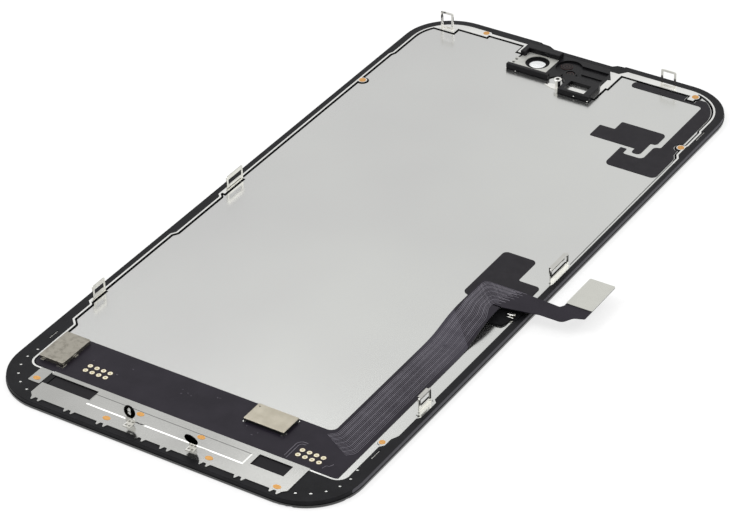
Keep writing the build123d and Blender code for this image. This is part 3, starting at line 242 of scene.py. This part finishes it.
def ringHighlightLens(name, look):
    # dark glass over a small camera with painted highlights: thin rings that shift in tone with the distance
    # from each centre
    finish, tree, coords = newFinish(name)
    flat = joined(tree, *split(tree, coords)[:2])
    first, second = [vectorMaths(tree, "DISTANCE", flat, (x * mm, y * mm, 0)) for x, y in look["centres"]]
    nearest = maths(tree, "MINIMUM", first, second)
    rings = maths(tree, "SINE", maths(tree, "MULTIPLY", nearest, 2 * math.pi / (look["pitch"] * mm)))
    dust = noise(tree, coords, look["dust"], 3.0)
    principled(tree, {"Specular IOR Level": look["specular"]},
               {"Base Color": ramp(tree, rings, look["dark"], look["light"], look["stops"]),
                "Roughness": spread(tree, dust, *look["roughness"])})
    return finish


def platedGold(name, look):
    # immersion gold on nickel: warm, half matt, slightly cloudy where the bath was uneven
    finish, tree, coords = newFinish(name)
    cloud = noise(tree, coords, look["cloud"], 3.0)
    principled(tree, {"Metallic": look["metallic"]},
               {"Base Color": ramp(tree, cloud, look["dark"], look["light"], platingStops),
                "Roughness": spread(tree, cloud, *look["roughness"]),
                "Normal": relief(tree, cloud, platingBump, steelGrainDepth)})
    return finish


# in each look: dark and light are the ends of the tone, grain, cloud and scuff the sizes of its patterns in
# millimetres, slope a tone change per metre, patches boxes of another colour: low corner, high corner, hex
# plate: its slope paints a reflection, lighter towards the right
plateLook = {"dark": "#C0C0BF", "light": "#CECFCC", "grain": 0.06, "cloud": 45.0, "grainShare": 0.06,
             "stops": (0.10, 1.05), "stretch": (1.0, 0.05, 1.0), "slope": (7.0, 0.5, 0),
             "roughness": (0.19, 0.23), "bump": 0.01, "metallic": 0.96}
# insert: its patch is painted shade, darker along the right side of the ring and strips
insertLook = {"dark": "#D3D3D0", "light": "#E6E6E3", "grain": 0.08, "cloud": 6.0, "grainShare": 0.25,
              "stops": (0.35, 0.85), "stretch": (1.0, 0.2, 1.0), "roughness": (0.16, 0.26), "bump": 0.05,
              "metallic": 0.95, "patches": [((30, -74, 1.2), (38, 50, 1.6), "#C9CAC7")]}
# bracket: its patch is a painted shadow, a thin dark line along the back of the raised strip
bracketLook = {"dark": "#ABABA8", "light": "#BFBFBC", "grain": 0.08, "cloud": 14.0, "grainShare": 0.2,
               "stops": (0.35, 0.85), "stretch": (0.08, 1.0, 1.0), "slope": (6.0, 0, 0),
               "roughness": (0.10, 0.16), "bump": 0.04, "metallic": 0.95,
               "patches": [((-17.1, -71.12, 1.6), (16.6, -70.98, 1.72), "#747472")]}
clipLook = {"dark": "#DAD9D4", "light": "#F0EFEB", "grain": 0.10, "cloud": 2.0, "grainShare": 0.2,
            "stops": (0.3, 0.85), "stretch": (1.0, 1.0, 0.3), "roughness": (0.07, 0.13), "bump": 0.05,
            "metallic": 1.0}
# left and right clips: the same bright spring steel painted darker, as painted shade
shadedLeftLook = dict(clipLook, dark="#B6B5AF", light="#CDCCC6")
shadedLook = dict(clipLook, dark="#BBBAB5", light="#CBCAC5", grainShare=0.05, bump=0.02)
# heads of the two spring contacts: painted dark reflection on the heads, also by the near black edge tint, and
# a painted highlight in the loop of the left one
contactLook = dict(clipLook, edge="#202020", patches=[((-8.2, -77, 3.15), (-5.0, -73, 6.5), "#1C1C1B"),
                                                      ((-6.95, -77, 3.9), (-6.25, -73, 5.0), "#E4E4E0"),
                                                      ((5.3, -78, 2.75), (8.7, -72, 6.5), "#1E1E1D")])
canLook = {"dark": "#6A665D", "light": "#979389", "grain": 0.12, "cloud": 1.1, "grainShare": 0.9,
           "stops": (0.55, 1.25), "stretch": (1.0, 1.0, 1.0), "roughness": (0.30, 0.44), "bump": 0.18,
           "metallic": 0.95}
lidLook = {"dark": "#9C9687", "light": "#B5AFA0", "grain": 0.13, "cloud": 2.5, "grainShare": 0.5,
           "stops": (0.4, 1.0), "stretch": (1.0, 1.0, 1.0), "roughness": (0.26, 0.38), "bump": 0.12,
           "metallic": 0.95}
satinLook = {"dark": "#B9B9B4", "light": "#CFCFCA", "grain": 0.12, "cloud": 2.0, "grainShare": 0.3,
             "stops": (0.35, 0.9), "stretch": (1.0, 1.0, 1.0), "roughness": (0.45, 0.60), "bump": 0.08,
             "metallic": 0.55}
stiffenerLook = {"dark": "#C6C6BF", "light": "#CDCDC6", "grain": 0.10, "cloud": 3.0, "grainShare": 0.1,
                 "stops": (0.35, 0.9), "stretch": (1.0, 0.15, 1.0), "roughness": (0.22, 0.28), "bump": 0.02,
                 "metallic": 0.95}
solderLook = {"dark": "#C4C4C1", "light": "#F0F0ED", "grain": 0.12, "cloud": 0.5, "grainShare": 0.4,
              "stops": (0.35, 0.9), "stretch": (1.0, 1.0, 1.0), "roughness": (0.12, 0.28), "bump": 0.3,
              "metallic": 1.0}

# its patch is painted light: the side wall along the right painted lighter where the lamps graze it
bezelLook = {"dark": "#151517", "light": "#1F1F22", "grain": 0.14, "scuff": 3.5, "roughness": (0.38, 0.52),
             "bump": 0.12, "specular": 0.10, "patches": [((37.0, -71, 0.80), (37.5, 71, 1.50), "#535257")]}
sensorLook = {"dark": "#0E0E10", "light": "#1B1A1D", "grain": 0.12, "scuff": 1.8, "roughness": (0.26, 0.42),
              "bump": 0.12, "specular": 0.14}
# flex: its patch is painted shade on the film under the bottom bracket; the keys from edge on place a painted
# sheen on the riser
flexLook = {"dark": "#1F1B24", "light": "#29252E", "grain": 0.20, "scuff": 5.0, "roughness": (0.32, 0.42),
            "bump": 0.05, "specular": 0.12, "patches": [((-40, -80, 0), (40, -69.15, 2), "#121015")],
            "edge": 8.2, "riserLeft": 24.5, "fade": (-38.0, -24.0), "paintedSheenStrength": 1.0, "paintedSheenColour": "#413E47"}
trackLook = dict(flexLook, dark="#57535D", light="#77737D", specular=0.4, roughness=(0.25, 0.36), patches=[])
bumpLook = dict(flexLook, dark="#3A3640", light="#4A4650", specular=0.4, roughness=(0.2, 0.3), patches=[])
tapeLook = {"dark": "#232125", "light": "#2C2A2E", "grain": 0.25, "scuff": 2.2, "roughness": (0.42, 0.56),
            "bump": 0.10, "specular": 0.10}
foamLook = {"dark": "#121214", "light": "#1E1E20", "grain": 0.16, "scuff": 0.6, "roughness": (0.75, 0.95),
            "bump": 0.5, "specular": 0.08}
chipLook = {"dark": "#151517", "light": "#202022", "grain": 0.10, "scuff": 0.8, "roughness": (0.45, 0.65),
            "bump": 0.2, "specular": 0.15}
rubberLook = {"dark": "#0C0C0D", "light": "#161617", "grain": 0.14, "scuff": 0.7, "roughness": (0.50, 0.70),
              "bump": 0.2, "specular": 0.12}
connectorLook = {"dark": "#201E1D", "light": "#2B2826", "grain": 0.12, "scuff": 0.9,
                 "roughness": (0.40, 0.55), "bump": 0.15, "specular": 0.25}
panelLook = {"dark": "#0E0F12", "light": "#16181D", "grain": 0.3, "scuff": 6.0, "roughness": (0.12, 0.22),
             "bump": 0.05, "specular": 0.25}
adhesiveLook = {"dark": "#303237", "light": "#3D3F45", "grain": 0.3, "scuff": 4.0, "roughness": (0.10, 0.20),
                "bump": 0.05, "specular": 0.3}
lensLook = {"dark": "#0A090C", "light": "#54403E", "centres": [(1.3, 70.55), (-0.9, 73.0)], "pitch": 0.55,
            "stops": (0.75, 1.0), "dust": 0.3, "roughness": (0.08, 0.16), "specular": 0.10}
goldLook = {"dark": "#C48F4C", "light": "#D5A260", "cloud": 0.5, "roughness": (0.30, 0.45), "metallic": 0.85}
padLook = {"dark": "#D2CBB2", "light": "#E9E4D2", "cloud": 0.45, "roughness": (0.28, 0.42), "metallic": 0.85}
coreLook = {"dark": "#A89B6E", "light": "#C2B58E", "cloud": 0.35, "roughness": (0.30, 0.45), "metallic": 0.85}
rimLook = {"dark": "#6A5228", "light": "#94763E", "cloud": 0.35, "roughness": (0.30, 0.45), "metallic": 0.85}
glassLook = {"ink": "#050506", "lit": "#0B0C10", "litHalf": (34.9, 75.6), "litCorner": 9.0,
             "lens": (-6.9, 71.0), "lensRadius": 2.35, "window": "#FAFCFC", "ior": 1.5, "coat": 0.6,
             "coatRoughness": 0.03, "smear": 9.0, "roughness": (0.05, 0.14)}

finishes = {
    "coverGlass": inkedGlass("Ink backed cover glass", glassLook),
    "adhesive": mouldedPlastic("Optical adhesive edge", adhesiveLook),
    "panel": mouldedPlastic("Laminated display film", panelLook),
    "cushion": mouldedPlastic("Foam cushion film", foamLook),
    "plate": rolledSteel("Cold rolled stainless plate", plateLook),
    "insert": rolledSteel("Pressed stainless insert", insertLook),
    "bracket": rolledSteel("Pressed stainless bracket", bracketLook),
    "clip": rolledSteel("Bright spring steel", clipLook),
    # these two: the clip steel painted darker, as painted shade
    "mutedClip": rolledSteel("Spring steel in painted shade, left clips", shadedLeftLook),
    "shadedClip": rolledSteel("Spring steel in painted shade, right clips and beads", shadedLook),
    # the contact heads carry painted dark reflection and a painted highlight
    "contact": rolledSteel("Contact spring with painted dark reflection", contactLook),
    "can": rolledSteel("Nickel silver can", canLook),
    "lid": rolledSteel("Nickel silver lid", lidLook),
    "satin": rolledSteel("Blasted steel leaf", satinLook),
    "stiffener": rolledSteel("Steel stiffener", stiffenerLook),
    "solder": rolledSteel("Reflowed tin solder", solderLook),
    "bezel": mouldedPlastic("Glass filled nylon", bezelLook),
    "sensor": mouldedPlastic("Moulded polycarbonate", sensorLook),
    "flex": coverlay("Polyimide coverlay with painted sheen", flexLook),
    "track": mouldedPlastic("Coverlay over copper tracks", trackLook),
    "bump": mouldedPlastic("Coverlay over buried part", bumpLook),
    "tape": mouldedPlastic("Black polyester tape", tapeLook),
    "foam": mouldedPlastic("Black urethane foam and painted shade", foamLook),
    "chip": mouldedPlastic("Epoxy moulding compound", chipLook),
    "rubber": mouldedPlastic("Silicone rubber", rubberLook),
    "connector": mouldedPlastic("Liquid crystal polymer", connectorLook),
    # the sensor glass carries painted ring highlights
    "lens": ringHighlightLens("Sensor glass with painted ring highlights", lensLook),
    "gold": platedGold("Immersion gold ground pad", goldLook),
    "pad": platedGold("Immersion gold test pad", padLook),
    "rim": platedGold("Tarnished pad rim", rimLook),
    "core": platedGold("Probe mark on the pad", coreLook),
}

nodesOfFinish = {
    "coverGlass": ["cover_glass"], "adhesive": ["optical_adhesive"], "panel": ["display_panel"],
    "cushion": ["cushion_film"], "plate": ["back_plate"], "bezel": ["bezel_frame"],
    "insert": ["frame_insert", "corner_strips", "window_plate"], "satin": ["camera_plate"],
    "gold": ["ring_ground_pads", "bracket_ground_pads", "tab_ground_pad", "connector_contacts"],
    "pad": ["test_pads_left", "test_pads_right"], "bracket": ["bottom_bracket", "chin_tab"],
    "chip": ["panel_driver", "power_chip", "touch_chip"], "flex": ["display_flex"],
    "stiffener": ["connector_stiffener"], "connector": ["board_connector"],
    # the tail pad is black foam, and its black also spreads under the raised tail as painted shade
    "tape": ["flex_tape", "corner_tape", "inner_tape"], "foam": ["tail_pad"],
    "clip": ["pad_contacts", "screw_post", "clip_top_left", "clip_top_right"],
    "mutedClip": ["clip_left_upper", "clip_left_lower"], "shadedClip": ["clip_right_upper", "clip_right_lower"],
    "contact": ["contact_spring_left", "contact_spring_right"], "can": ["shield_can"],
    "solder": ["can_solder_tabs", "touch_solder_tabs"], "lid": ["touch_chip_lid"], "sensor": ["sensor_bracket"],
    "lens": ["sensor_lens", "sensor_window"], "rubber": ["camera_seal"],
}
finishOfNode = {nodeName: finish for finish, names in nodesOfFinish.items() for nodeName in names}
for nodeName, finishName in finishOfNode.items():
    cadMesh = nodes[nodeName].data
    if not cadMesh.materials:
        cadMesh.materials.append(finishes[finishName])
    for place in nodes[nodeName].material_slots:
        place.material = finishes[finishName]
missing = sorted(set(nodes) - set(finishOfNode))
if missing:
    raise SystemExit("no finish for " + ", ".join(missing))
print("finishes on", len(finishOfNode), "nodes")


# angles in degrees; lens and sensor width as on a full frame camera; clip is the near limit in metres
cameraLook = {"lens": 143.17, "sensor": 36.0, "clip": 0.01, "azimuth": 33.28116, "elevation": 34.27850,
              "roll": -1.56291, "target": (0.31006, -8.56205, 0.0), "distance": 556.8666}


def addCamera(look):
    # back points from the target to the camera, right and up are turned by the roll about it
    az, el, roll = (math.radians(look[k]) for k in ("azimuth", "elevation", "roll"))
    back = Vector((math.sin(az) * math.cos(el), -math.cos(az) * math.cos(el), math.sin(el)))
    level = Vector((math.cos(az), math.sin(az), 0))
    rise = back.cross(level)
    right = math.cos(roll) * level + math.sin(roll) * rise
    up = math.cos(roll) * rise - math.sin(roll) * level
    spot = (Vector(look["target"]) + back * look["distance"]) * mm
    camera = bpy.data.objects.new("camera", bpy.data.cameras.new("camera"))
    camera.data.lens = look["lens"]
    camera.data.sensor_width = look["sensor"]
    camera.data.clip_start = look["clip"]
    camera.matrix_world = Matrix.Translation(spot) @ Matrix((right, up, back)).transposed().to_4x4()
    bpy.context.scene.collection.objects.link(camera)
    bpy.context.scene.camera = camera


# drop: how far it lies under the glass; glow: its own light to the camera; albedo: the share that takes shadow
floorLook = {"size": 1600.0, "drop": 0.02, "glow": 0.70, "albedo": 0.42, "speck": 0.8, "dark": "#F4F4F4",
             "light": "#FFFFFF", "stops": (0.3, 0.7)}


def addFloor(look):
    # flat square grid under the glass, z constant a hair below it
    half = look["size"] / 2 * mm
    corners = np.array([(-half, -half), (half, -half), (half, half), (-half, half)])
    points = np.column_stack([corners, np.full(4, -look["drop"] * mm)])
    mesh = bpy.data.meshes.new("floor")
    mesh.from_pydata(points.tolist(), [], [(0, 1, 2, 3)])
    floor = bpy.data.objects.new("floor", mesh)
    bpy.context.scene.collection.objects.link(floor)
    # matt white board: camera sees it clear of grey except in the shadow, mirrors see plain white
    finish, tree, coords = newFinish("Matt white board")
    paths = addNode(tree, "ShaderNodeLightPath")
    tone = ramp(tree, noise(tree, coords, look["speck"], 2.0), look["dark"], look["light"], look["stops"])
    board = addNode(tree, "ShaderNodeBsdfDiffuse", links={"Color": tone})
    glow = addNode(tree, "ShaderNodeEmission", {"Color": (1, 1, 1, 1), "Strength": look["glow"]})
    dim = addNode(tree, "ShaderNodeMixShader", {0: look["albedo"]}, {2: board.outputs["BSDF"]})
    seen = addNode(tree, "ShaderNodeAddShader", links={0: glow.outputs["Emission"], 1: dim.outputs["Shader"]})
    plain = addNode(tree, "ShaderNodeEmission", {"Color": (1, 1, 1, 1), "Strength": 1.0})
    mirrored = maths(tree, "MAXIMUM", paths.outputs["Is Glossy Ray"], paths.outputs["Is Transmission Ray"])
    byEye = addNode(tree, "ShaderNodeMixShader",
                    links={0: paths.outputs["Is Camera Ray"], 1: board.outputs["BSDF"],
                           2: seen.outputs["Shader"]})
    byMirror = addNode(tree, "ShaderNodeMixShader",
                       links={0: mirrored, 1: byEye.outputs["Shader"], 2: plain.outputs["Emission"]})
    addNode(tree, "ShaderNodeOutputMaterial", links={"Surface": byMirror.outputs["Shader"]})
    mesh.materials.append(finish)


# name, place, size and power in watts of each soft lamp; none stands where the plate mirrors it to the camera
lightLook = {"sky": 0.62,
             "lamps": [("key", (-330, -230, 560), 380, 1.15), ("fill", (420, -60, 420), 420, 0.40),
                       ("back", (-300, 300, 520), 150, 0.14), ("rim", (300, 500, 430), 200, 0.25)]}


def addLight(look):
    # sky: white at strength 1 to the camera and in mirrors, dimmer as light on the object; then the lamps
    world = bpy.data.worlds.new("studio")
    world.use_nodes = True
    tree = world.node_tree
    tree.nodes.clear()
    paths = addNode(tree, "ShaderNodeLightPath")
    mirrored = maths(tree, "MAXIMUM", paths.outputs["Is Glossy Ray"], paths.outputs["Is Transmission Ray"])
    seen = maths(tree, "MAXIMUM", paths.outputs["Is Camera Ray"], mirrored)
    strength = spread(tree, seen, look["sky"], 1.0)
    sky = addNode(tree, "ShaderNodeBackground", {"Color": (1, 1, 1, 1)}, {"Strength": strength})
    addNode(tree, "ShaderNodeOutputWorld", links={"Surface": sky.outputs["Background"]})
    bpy.context.scene.world = world
    for name, spot, size, power in look["lamps"]:
        lamp = bpy.data.objects.new(name, bpy.data.lights.new(name, "AREA"))
        lamp.data.energy = power
        lamp.data.size = size * mm
        lamp.location = Vector(spot) * mm
        lamp.rotation_euler = lamp.location.to_track_quat("Z", "Y").to_euler()
        bpy.context.scene.collection.objects.link(lamp)


addCamera(cameraLook)
addFloor(floorLook)
addLight(lightLook)
bpy.context.scene.view_settings.view_transform = "Standard"
print("camera, floor and light ready")


def gridQuads(rows, columns, closed=False):
    # faces of a grid whose columns run round a loop; closed also joins the last row to the first
    row, column = np.meshgrid(np.arange(rows if closed else rows - 1), np.arange(columns), indexing="ij")
    ahead, after = (row + 1) % rows, (column + 1) % columns
    return np.stack([row * columns + column, row * columns + after, ahead * columns + after,
                     ahead * columns + column], axis=-1).reshape(-1, 4).tolist()


def sweptShell(path, side, up, profile):
    # a closed profile carried along a path: point = path + side * profile x + up * profile y, ends capped
    rows, columns = len(path), len(profile)
    across, above = profile[None, :, 0, None], profile[None, :, 1, None]
    points = path[:, None] + side[:, None] * across + up[:, None] * above
    caps = [list(range(columns))[::-1], [(rows - 1) * columns + k for k in range(columns)]]
    return points.reshape(-1, 3), gridQuads(rows, columns) + caps


def addPiece(name, shells, finish):
    # joins the shells in one smooth mesh in place, faces outwards, riding on the fixed body
    points, faces, start = [], [], 0
    for shellPoints, shellFaces in shells:
        points.append(shellPoints)
        faces += [[start + k for k in face] for face in shellFaces]
        start += len(shellPoints)
    mesh = bpy.data.meshes.new(name)
    mesh.from_pydata((np.concatenate(points) * mm).tolist(), [], faces)
    cleaned = bmesh.new()
    cleaned.from_mesh(mesh)
    bmesh.ops.recalc_face_normals(cleaned, faces=cleaned.faces)
    cleaned.to_mesh(mesh)
    cleaned.free()
    mesh.polygons.foreach_set("use_smooth", np.full(len(mesh.polygons), True))
    mesh.materials.append(finishes[finish])
    piece = bpy.data.objects.new(name, mesh)
    bpy.context.scene.collection.objects.link(piece)
    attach(piece, "root")


# low and high: the film's underside on the plate and on the raised tail; lift: y of the curve's four points
flexLayout = {"thickness": 0.12, "low": 1.30, "high": 2.90, "lift": (-28.5, -21.5, -21.5, -14.5)}


def flexSurface(y):
    # height of the film's upper face: flat, then one cubic curve up to the raised tail
    y0, y1, y2, y3 = flexLayout["lift"]
    t = np.linspace(0, 1, 400)
    curveY = y0 * (1 - t) ** 3 + 3 * y1 * t * (1 - t) ** 2 + 3 * y2 * t * t * (1 - t) + y3 * t ** 3
    share = 3 * t * t * (1 - t) + t ** 3
    curveZ = flexLayout["low"] + (flexLayout["high"] - flexLayout["low"]) * share
    return np.interp(y, curveY, curveZ) + flexLayout["thickness"]


# first, pitch, count: the tracks on the riser, from its left; wide: those drawn broader than the rest
# topFirst, topSpan, top: where they draw together; head, headSpan: the turn into the tail
# foot, footSlope, reach: the bend into the bar; tailEnd, stagger, leastTail: how far each runs into the tail
# wobble, wave, wobbleBelow, wobbleReach, wobbleTail: the small waves at the turn and where they fade
trackLayout = {"first": 26.15, "pitch": 0.33, "count": 19, "width": 0.12, "broad": 1.5, "narrow": 0.8,
               "wide": (1, 2, 4, 5, 8, 12, 15), "height": 0.016, "head": -6.4, "headSpan": 5.1, "turn": 0.6,
               "topFirst": 25.75, "topSpan": 5.0, "top": -13.6, "gather": 3.2, "foot": -58.1,
               "footSlope": -0.56, "reach": 1.35, "tailEnd": (34.8, -2.6), "stagger": 0.9, "leastTail": 1.1,
               "bend": 0.6, "step": 0.22, "wobble": 0.06, "wave": 1.15, "wobbleBelow": 1.2,
               "wobbleReach": 1.6, "wobbleTail": 2.5}


def smoothPath(corners, radius, step):
    # straight runs with each corner rounded: samples the polyline, then averages it over the radius
    corners = np.array(corners, float)
    lengths = np.concatenate([[0], np.cumsum(np.linalg.norm(np.diff(corners, axis=0), axis=1))])
    along = np.linspace(0, lengths[-1], max(4, int(lengths[-1] / step)))
    offsets = np.linspace(-radius, radius, 9)
    narrowing = np.minimum(1, np.minimum(along, lengths[-1] - along) / radius)
    spots = np.clip(along[:, None] + offsets[None, :] * narrowing[:, None], 0, lengths[-1])
    return np.stack([np.interp(spots, lengths, corners[:, k]).mean(axis=1) for k in (0, 1)], axis=1)


def ribProfile(width, height):
    # half-sine over the width, with a flat foot sunk by the height
    across = np.linspace(-1, 1, 5)
    upper = np.column_stack([across * width / 2, height * np.cos(across * math.pi / 2)])
    return np.vstack([upper, [(width / 2, -height), (-width / 2, -height)]])


# samples over which a rib rises at its start and sinks at its end, and the share of its height left there
ribEase = {"start": 3, "end": 8, "least": 0.1}


def ribShell(plan, width, height, surface):
    # low rounded rib on a surface: half-sine cross profile that sinks in at both ends
    ease = np.minimum(1, np.minimum(np.arange(len(plan)) / ribEase["start"],
                                    np.arange(len(plan))[::-1] / ribEase["end"]))
    path = np.column_stack([plan, surface(plan[:, 1])])
    along = np.gradient(path, axis=0)
    along /= np.linalg.norm(along, axis=1)[:, None]
    side = np.cross(along, (0, 0, 1))
    side /= np.linalg.norm(side, axis=1)[:, None]
    up = np.cross(side, along) * (ribEase["least"] + (1 - ribEase["least"]) * ease)[:, None]
    return sweptShell(path, side, up, ribProfile(width, height))


def addTracks(layout):
    # track k bends up out of the bar, climbs the riser, draws in above the lift and turns right into the tail
    shells = []
    for k in range(layout["count"]):
        share = k / (layout["count"] - 1)
        x = layout["first"] + k * layout["pitch"]
        foot = layout["foot"] + layout["footSlope"] * (x - layout["first"])
        topX = layout["topFirst"] + share * layout["topSpan"]
        head = layout["head"] - share * layout["headSpan"]
        endX = max(layout["tailEnd"][0] + layout["tailEnd"][1] * share - layout["stagger"] * (k % 3),
                   topX + layout["leastTail"])
        corners = [(x - layout["reach"], foot - layout["reach"]), (x, foot),
                   (x, layout["top"] - layout["gather"]), (topX, layout["top"]),
                   (topX, head - layout["turn"]), (topX + layout["turn"], head), (endX, head)]
        plan = smoothPath(corners, layout["bend"], layout["step"])
        near = np.exp(-((plan[:, 1] - head + layout["wobbleBelow"]) / layout["wobbleReach"]) ** 2
                      - np.maximum(0, plan[:, 0] - topX - layout["wobbleTail"]) ** 2)
        phase = (plan[:, 0] + plan[:, 1]) * 2 * math.pi / layout["wave"]
        plan[:, 0] += layout["wobble"] * near * np.sin(phase)
        plan[:, 1] += layout["wobble"] * near * np.cos(phase)
        width = layout["width"] * (layout["broad"] if k in layout["wide"] else layout["narrow"])
        shells.append(ribShell(plan, width, layout["height"], flexSurface))
    addPiece("flex_tracks", shells, "track")


addTracks(trackLayout)
print("flex tracks made")

# short traces on the film beside the right block of test pads
padTraces = {"width": 0.13, "height": 0.016, "bend": 0.35, "step": 0.2,
             "paths": [[(21.55, -68.2), (21.55, -64.1), (22.3, -63.35), (23.4, -63.35)],
                       [(22.15, -68.6), (22.15, -64.4), (22.6, -63.9), (23.3, -63.9)],
                       [(29.2, -67.9), (29.5, -66.8), (30.0, -67.0), (30.4, -66.0)]]}


def ribsAlong(layout, surface):
    # one rib for each path of the layout
    plans = [smoothPath(path, layout["bend"], layout["step"]) for path in layout["paths"]]
    return [ribShell(plan, layout["width"], layout["height"], surface) for plan in plans]


addPiece("pad_traces", ribsAlong(padTraces, flexSurface), "track")


def ringShell(centre, radius, width, height, base, steps=28):
    # ring: half-sine cross profile turned round the centre, closed on itself
    angle = np.linspace(0, 2 * math.pi, steps, endpoint=False)
    profile = ribProfile(width, height)
    reach = radius + profile[None, :, 0]
    points = np.stack([centre[0] + reach * np.cos(angle)[:, None], centre[1] + reach * np.sin(angle)[:, None],
                       base + profile[None, :, 1] + 0 * angle[:, None]], axis=-1)
    return points.reshape(-1, 3), gridQuads(steps, len(profile), closed=True)


def domeShell(centre, size, height, base, steps=16, rings=4):
    # low dome: radius times cos, height times sin of the same angle, over an ellipse; pole and foot closed
    rise = np.linspace(0, math.pi / 2, rings, endpoint=False)
    angle = np.linspace(0, 2 * math.pi, steps, endpoint=False)
    points = np.stack([centre[0] + size[0] * np.cos(rise)[:, None] * np.cos(angle),
                       centre[1] + size[1] * np.cos(rise)[:, None] * np.sin(angle),
                       base + height * np.sin(rise)[:, None] + 0 * angle], axis=-1).reshape(-1, 3)
    tip = len(points)
    points = np.vstack([points, [(centre[0], centre[1], base + height)]])
    last = (rings - 1) * steps
    fan = [[last + k, last + (k + 1) % steps, tip] for k in range(steps)]
    return points, gridQuads(rings, steps) + fan + [list(range(steps))[::-1]]


# two blocks of test pads, four by two: a raised rim on each pad and a worn spot in its middle
padRings = {"blocks": [((-21.12, -65.20), 1.49), ((25.70, -66.13), 1.46)], "columns": 4, "rows": 2,
            "radius": 0.50, "width": 0.05, "height": 0.010, "base": 1.448, "core": (0.24, 0.22)}


def padSpots(layout):
    # centres of the pads, pitch apart about the middle of each block
    middle = ((layout["columns"] - 1) / 2, (layout["rows"] - 1) / 2)
    return [(x + (column - middle[0]) * pitch, y + (row - middle[1]) * pitch)
            for (x, y), pitch in layout["blocks"]
            for column in range(layout["columns"]) for row in range(layout["rows"])]


ringShells = [ringShell(spot, padRings["radius"], padRings["width"], padRings["height"], padRings["base"])
              for spot in padSpots(padRings)]
addPiece("pad_rims", ringShells, "rim")
coreShells = [domeShell(spot, padRings["core"], padRings["height"], padRings["base"])
              for spot in padSpots(padRings)]
addPiece("pad_cores", coreShells, "core")

# soft bumps of parts buried in the film: x, y and the two half widths of each
bumpLayout = {"height": 0.035, "base": flexLayout["low"] + flexLayout["thickness"], "sink": 0.002,
              "spots": [(11.2, -64.6, 0.16, 0.12), (13.4, -66.3, 0.22, 0.13), (14.0, -65.3, 0.15, 0.15),
                        (-4.7, -61.6, 0.14, 0.10), (-4.3, -62.8, 0.20, 0.14), (-3.3, -62.1, 0.18, 0.12),
                        (-2.4, -62.4, 0.15, 0.12), (2.1, -60.5, 0.20, 0.12), (-17.6, -64.1, 0.24, 0.14),
                        (-16.0, -61.3, 0.20, 0.10), (-23.8, -62.8, 0.18, 0.12), (2.6, -60.4, 0.12, 0.12)]}
bumpFoot = bumpLayout["base"] - bumpLayout["sink"]
bumpShells = [domeShell((x, y), (a, b), bumpLayout["height"], bumpFoot) for x, y, a, b in bumpLayout["spots"]]
addPiece("film_bumps", bumpShells, "bump")
print("pad rims and bumps made")

# pressed beads beside the frame's slits
slitStrips = {"width": 0.13, "height": 0.06, "base": 1.45, "bend": 0.1, "step": 0.3,
              "paths": [[(-35.10, -61.3), (-35.10, -58.6)], [(35.20, -61.3), (35.20, -58.6)],
                        [(36.15, 60.1), (36.15, 63.8)]]}


def level(height):
    # a flat surface at this height, for ribs that lie on it
    return lambda y: np.full(np.shape(y), height)


addPiece("slit_strips", ribsAlong(slitStrips, level(slitStrips["base"])), "shadedClip")

# low border line and corner dot on the touch chip's lid; low and high are the lid's corners, top its face
lidBorder = {"inset": 0.14, "width": 0.07, "height": 0.012, "bend": 0.05, "step": 0.3, "low": (9.9, -63.75),
             "high": (18.5, -58.75), "top": 2.12}
lidDot = {"spot": (10.55, -59.45), "radius": 0.15, "height": 0.008}


def borderPaths(layout):
    # the four sides of a rectangle set in from the lid's edge
    (x0, y0), (x1, y1), d = layout["low"], layout["high"], layout["inset"]
    corners = [(x0 + d, y0 + d), (x1 - d, y0 + d), (x1 - d, y1 - d), (x0 + d, y1 - d)]
    return [[corners[k], corners[(k + 1) % 4]] for k in range(4)]


lidBorder["paths"] = borderPaths(lidBorder)
addPiece("lid_border", ribsAlong(lidBorder, level(lidBorder["top"])), "lid")
dotShell = domeShell(lidDot["spot"], (lidDot["radius"], lidDot["radius"]), lidDot["height"], lidBorder["top"])
addPiece("lid_dot", [dotShell], "chip")

# bright ends of small pins that show by the sensor bracket: x, y, height of the foot and radius of each
pinEnds = {"height": 0.12, "spots": [(9.84, 62.27, 1.50, 0.22), (6.63, 62.27, 1.80, 0.16),
                                     (-11.4, 65.5, 1.60, 0.15), (-9.04, 65.3, 1.60, 0.13)]}
pinShells = [domeShell((x, y), (r, r), pinEnds["height"], z) for x, y, z, r in pinEnds["spots"]]
addPiece("pin_ends", pinShells, "clip")
print("trim made")
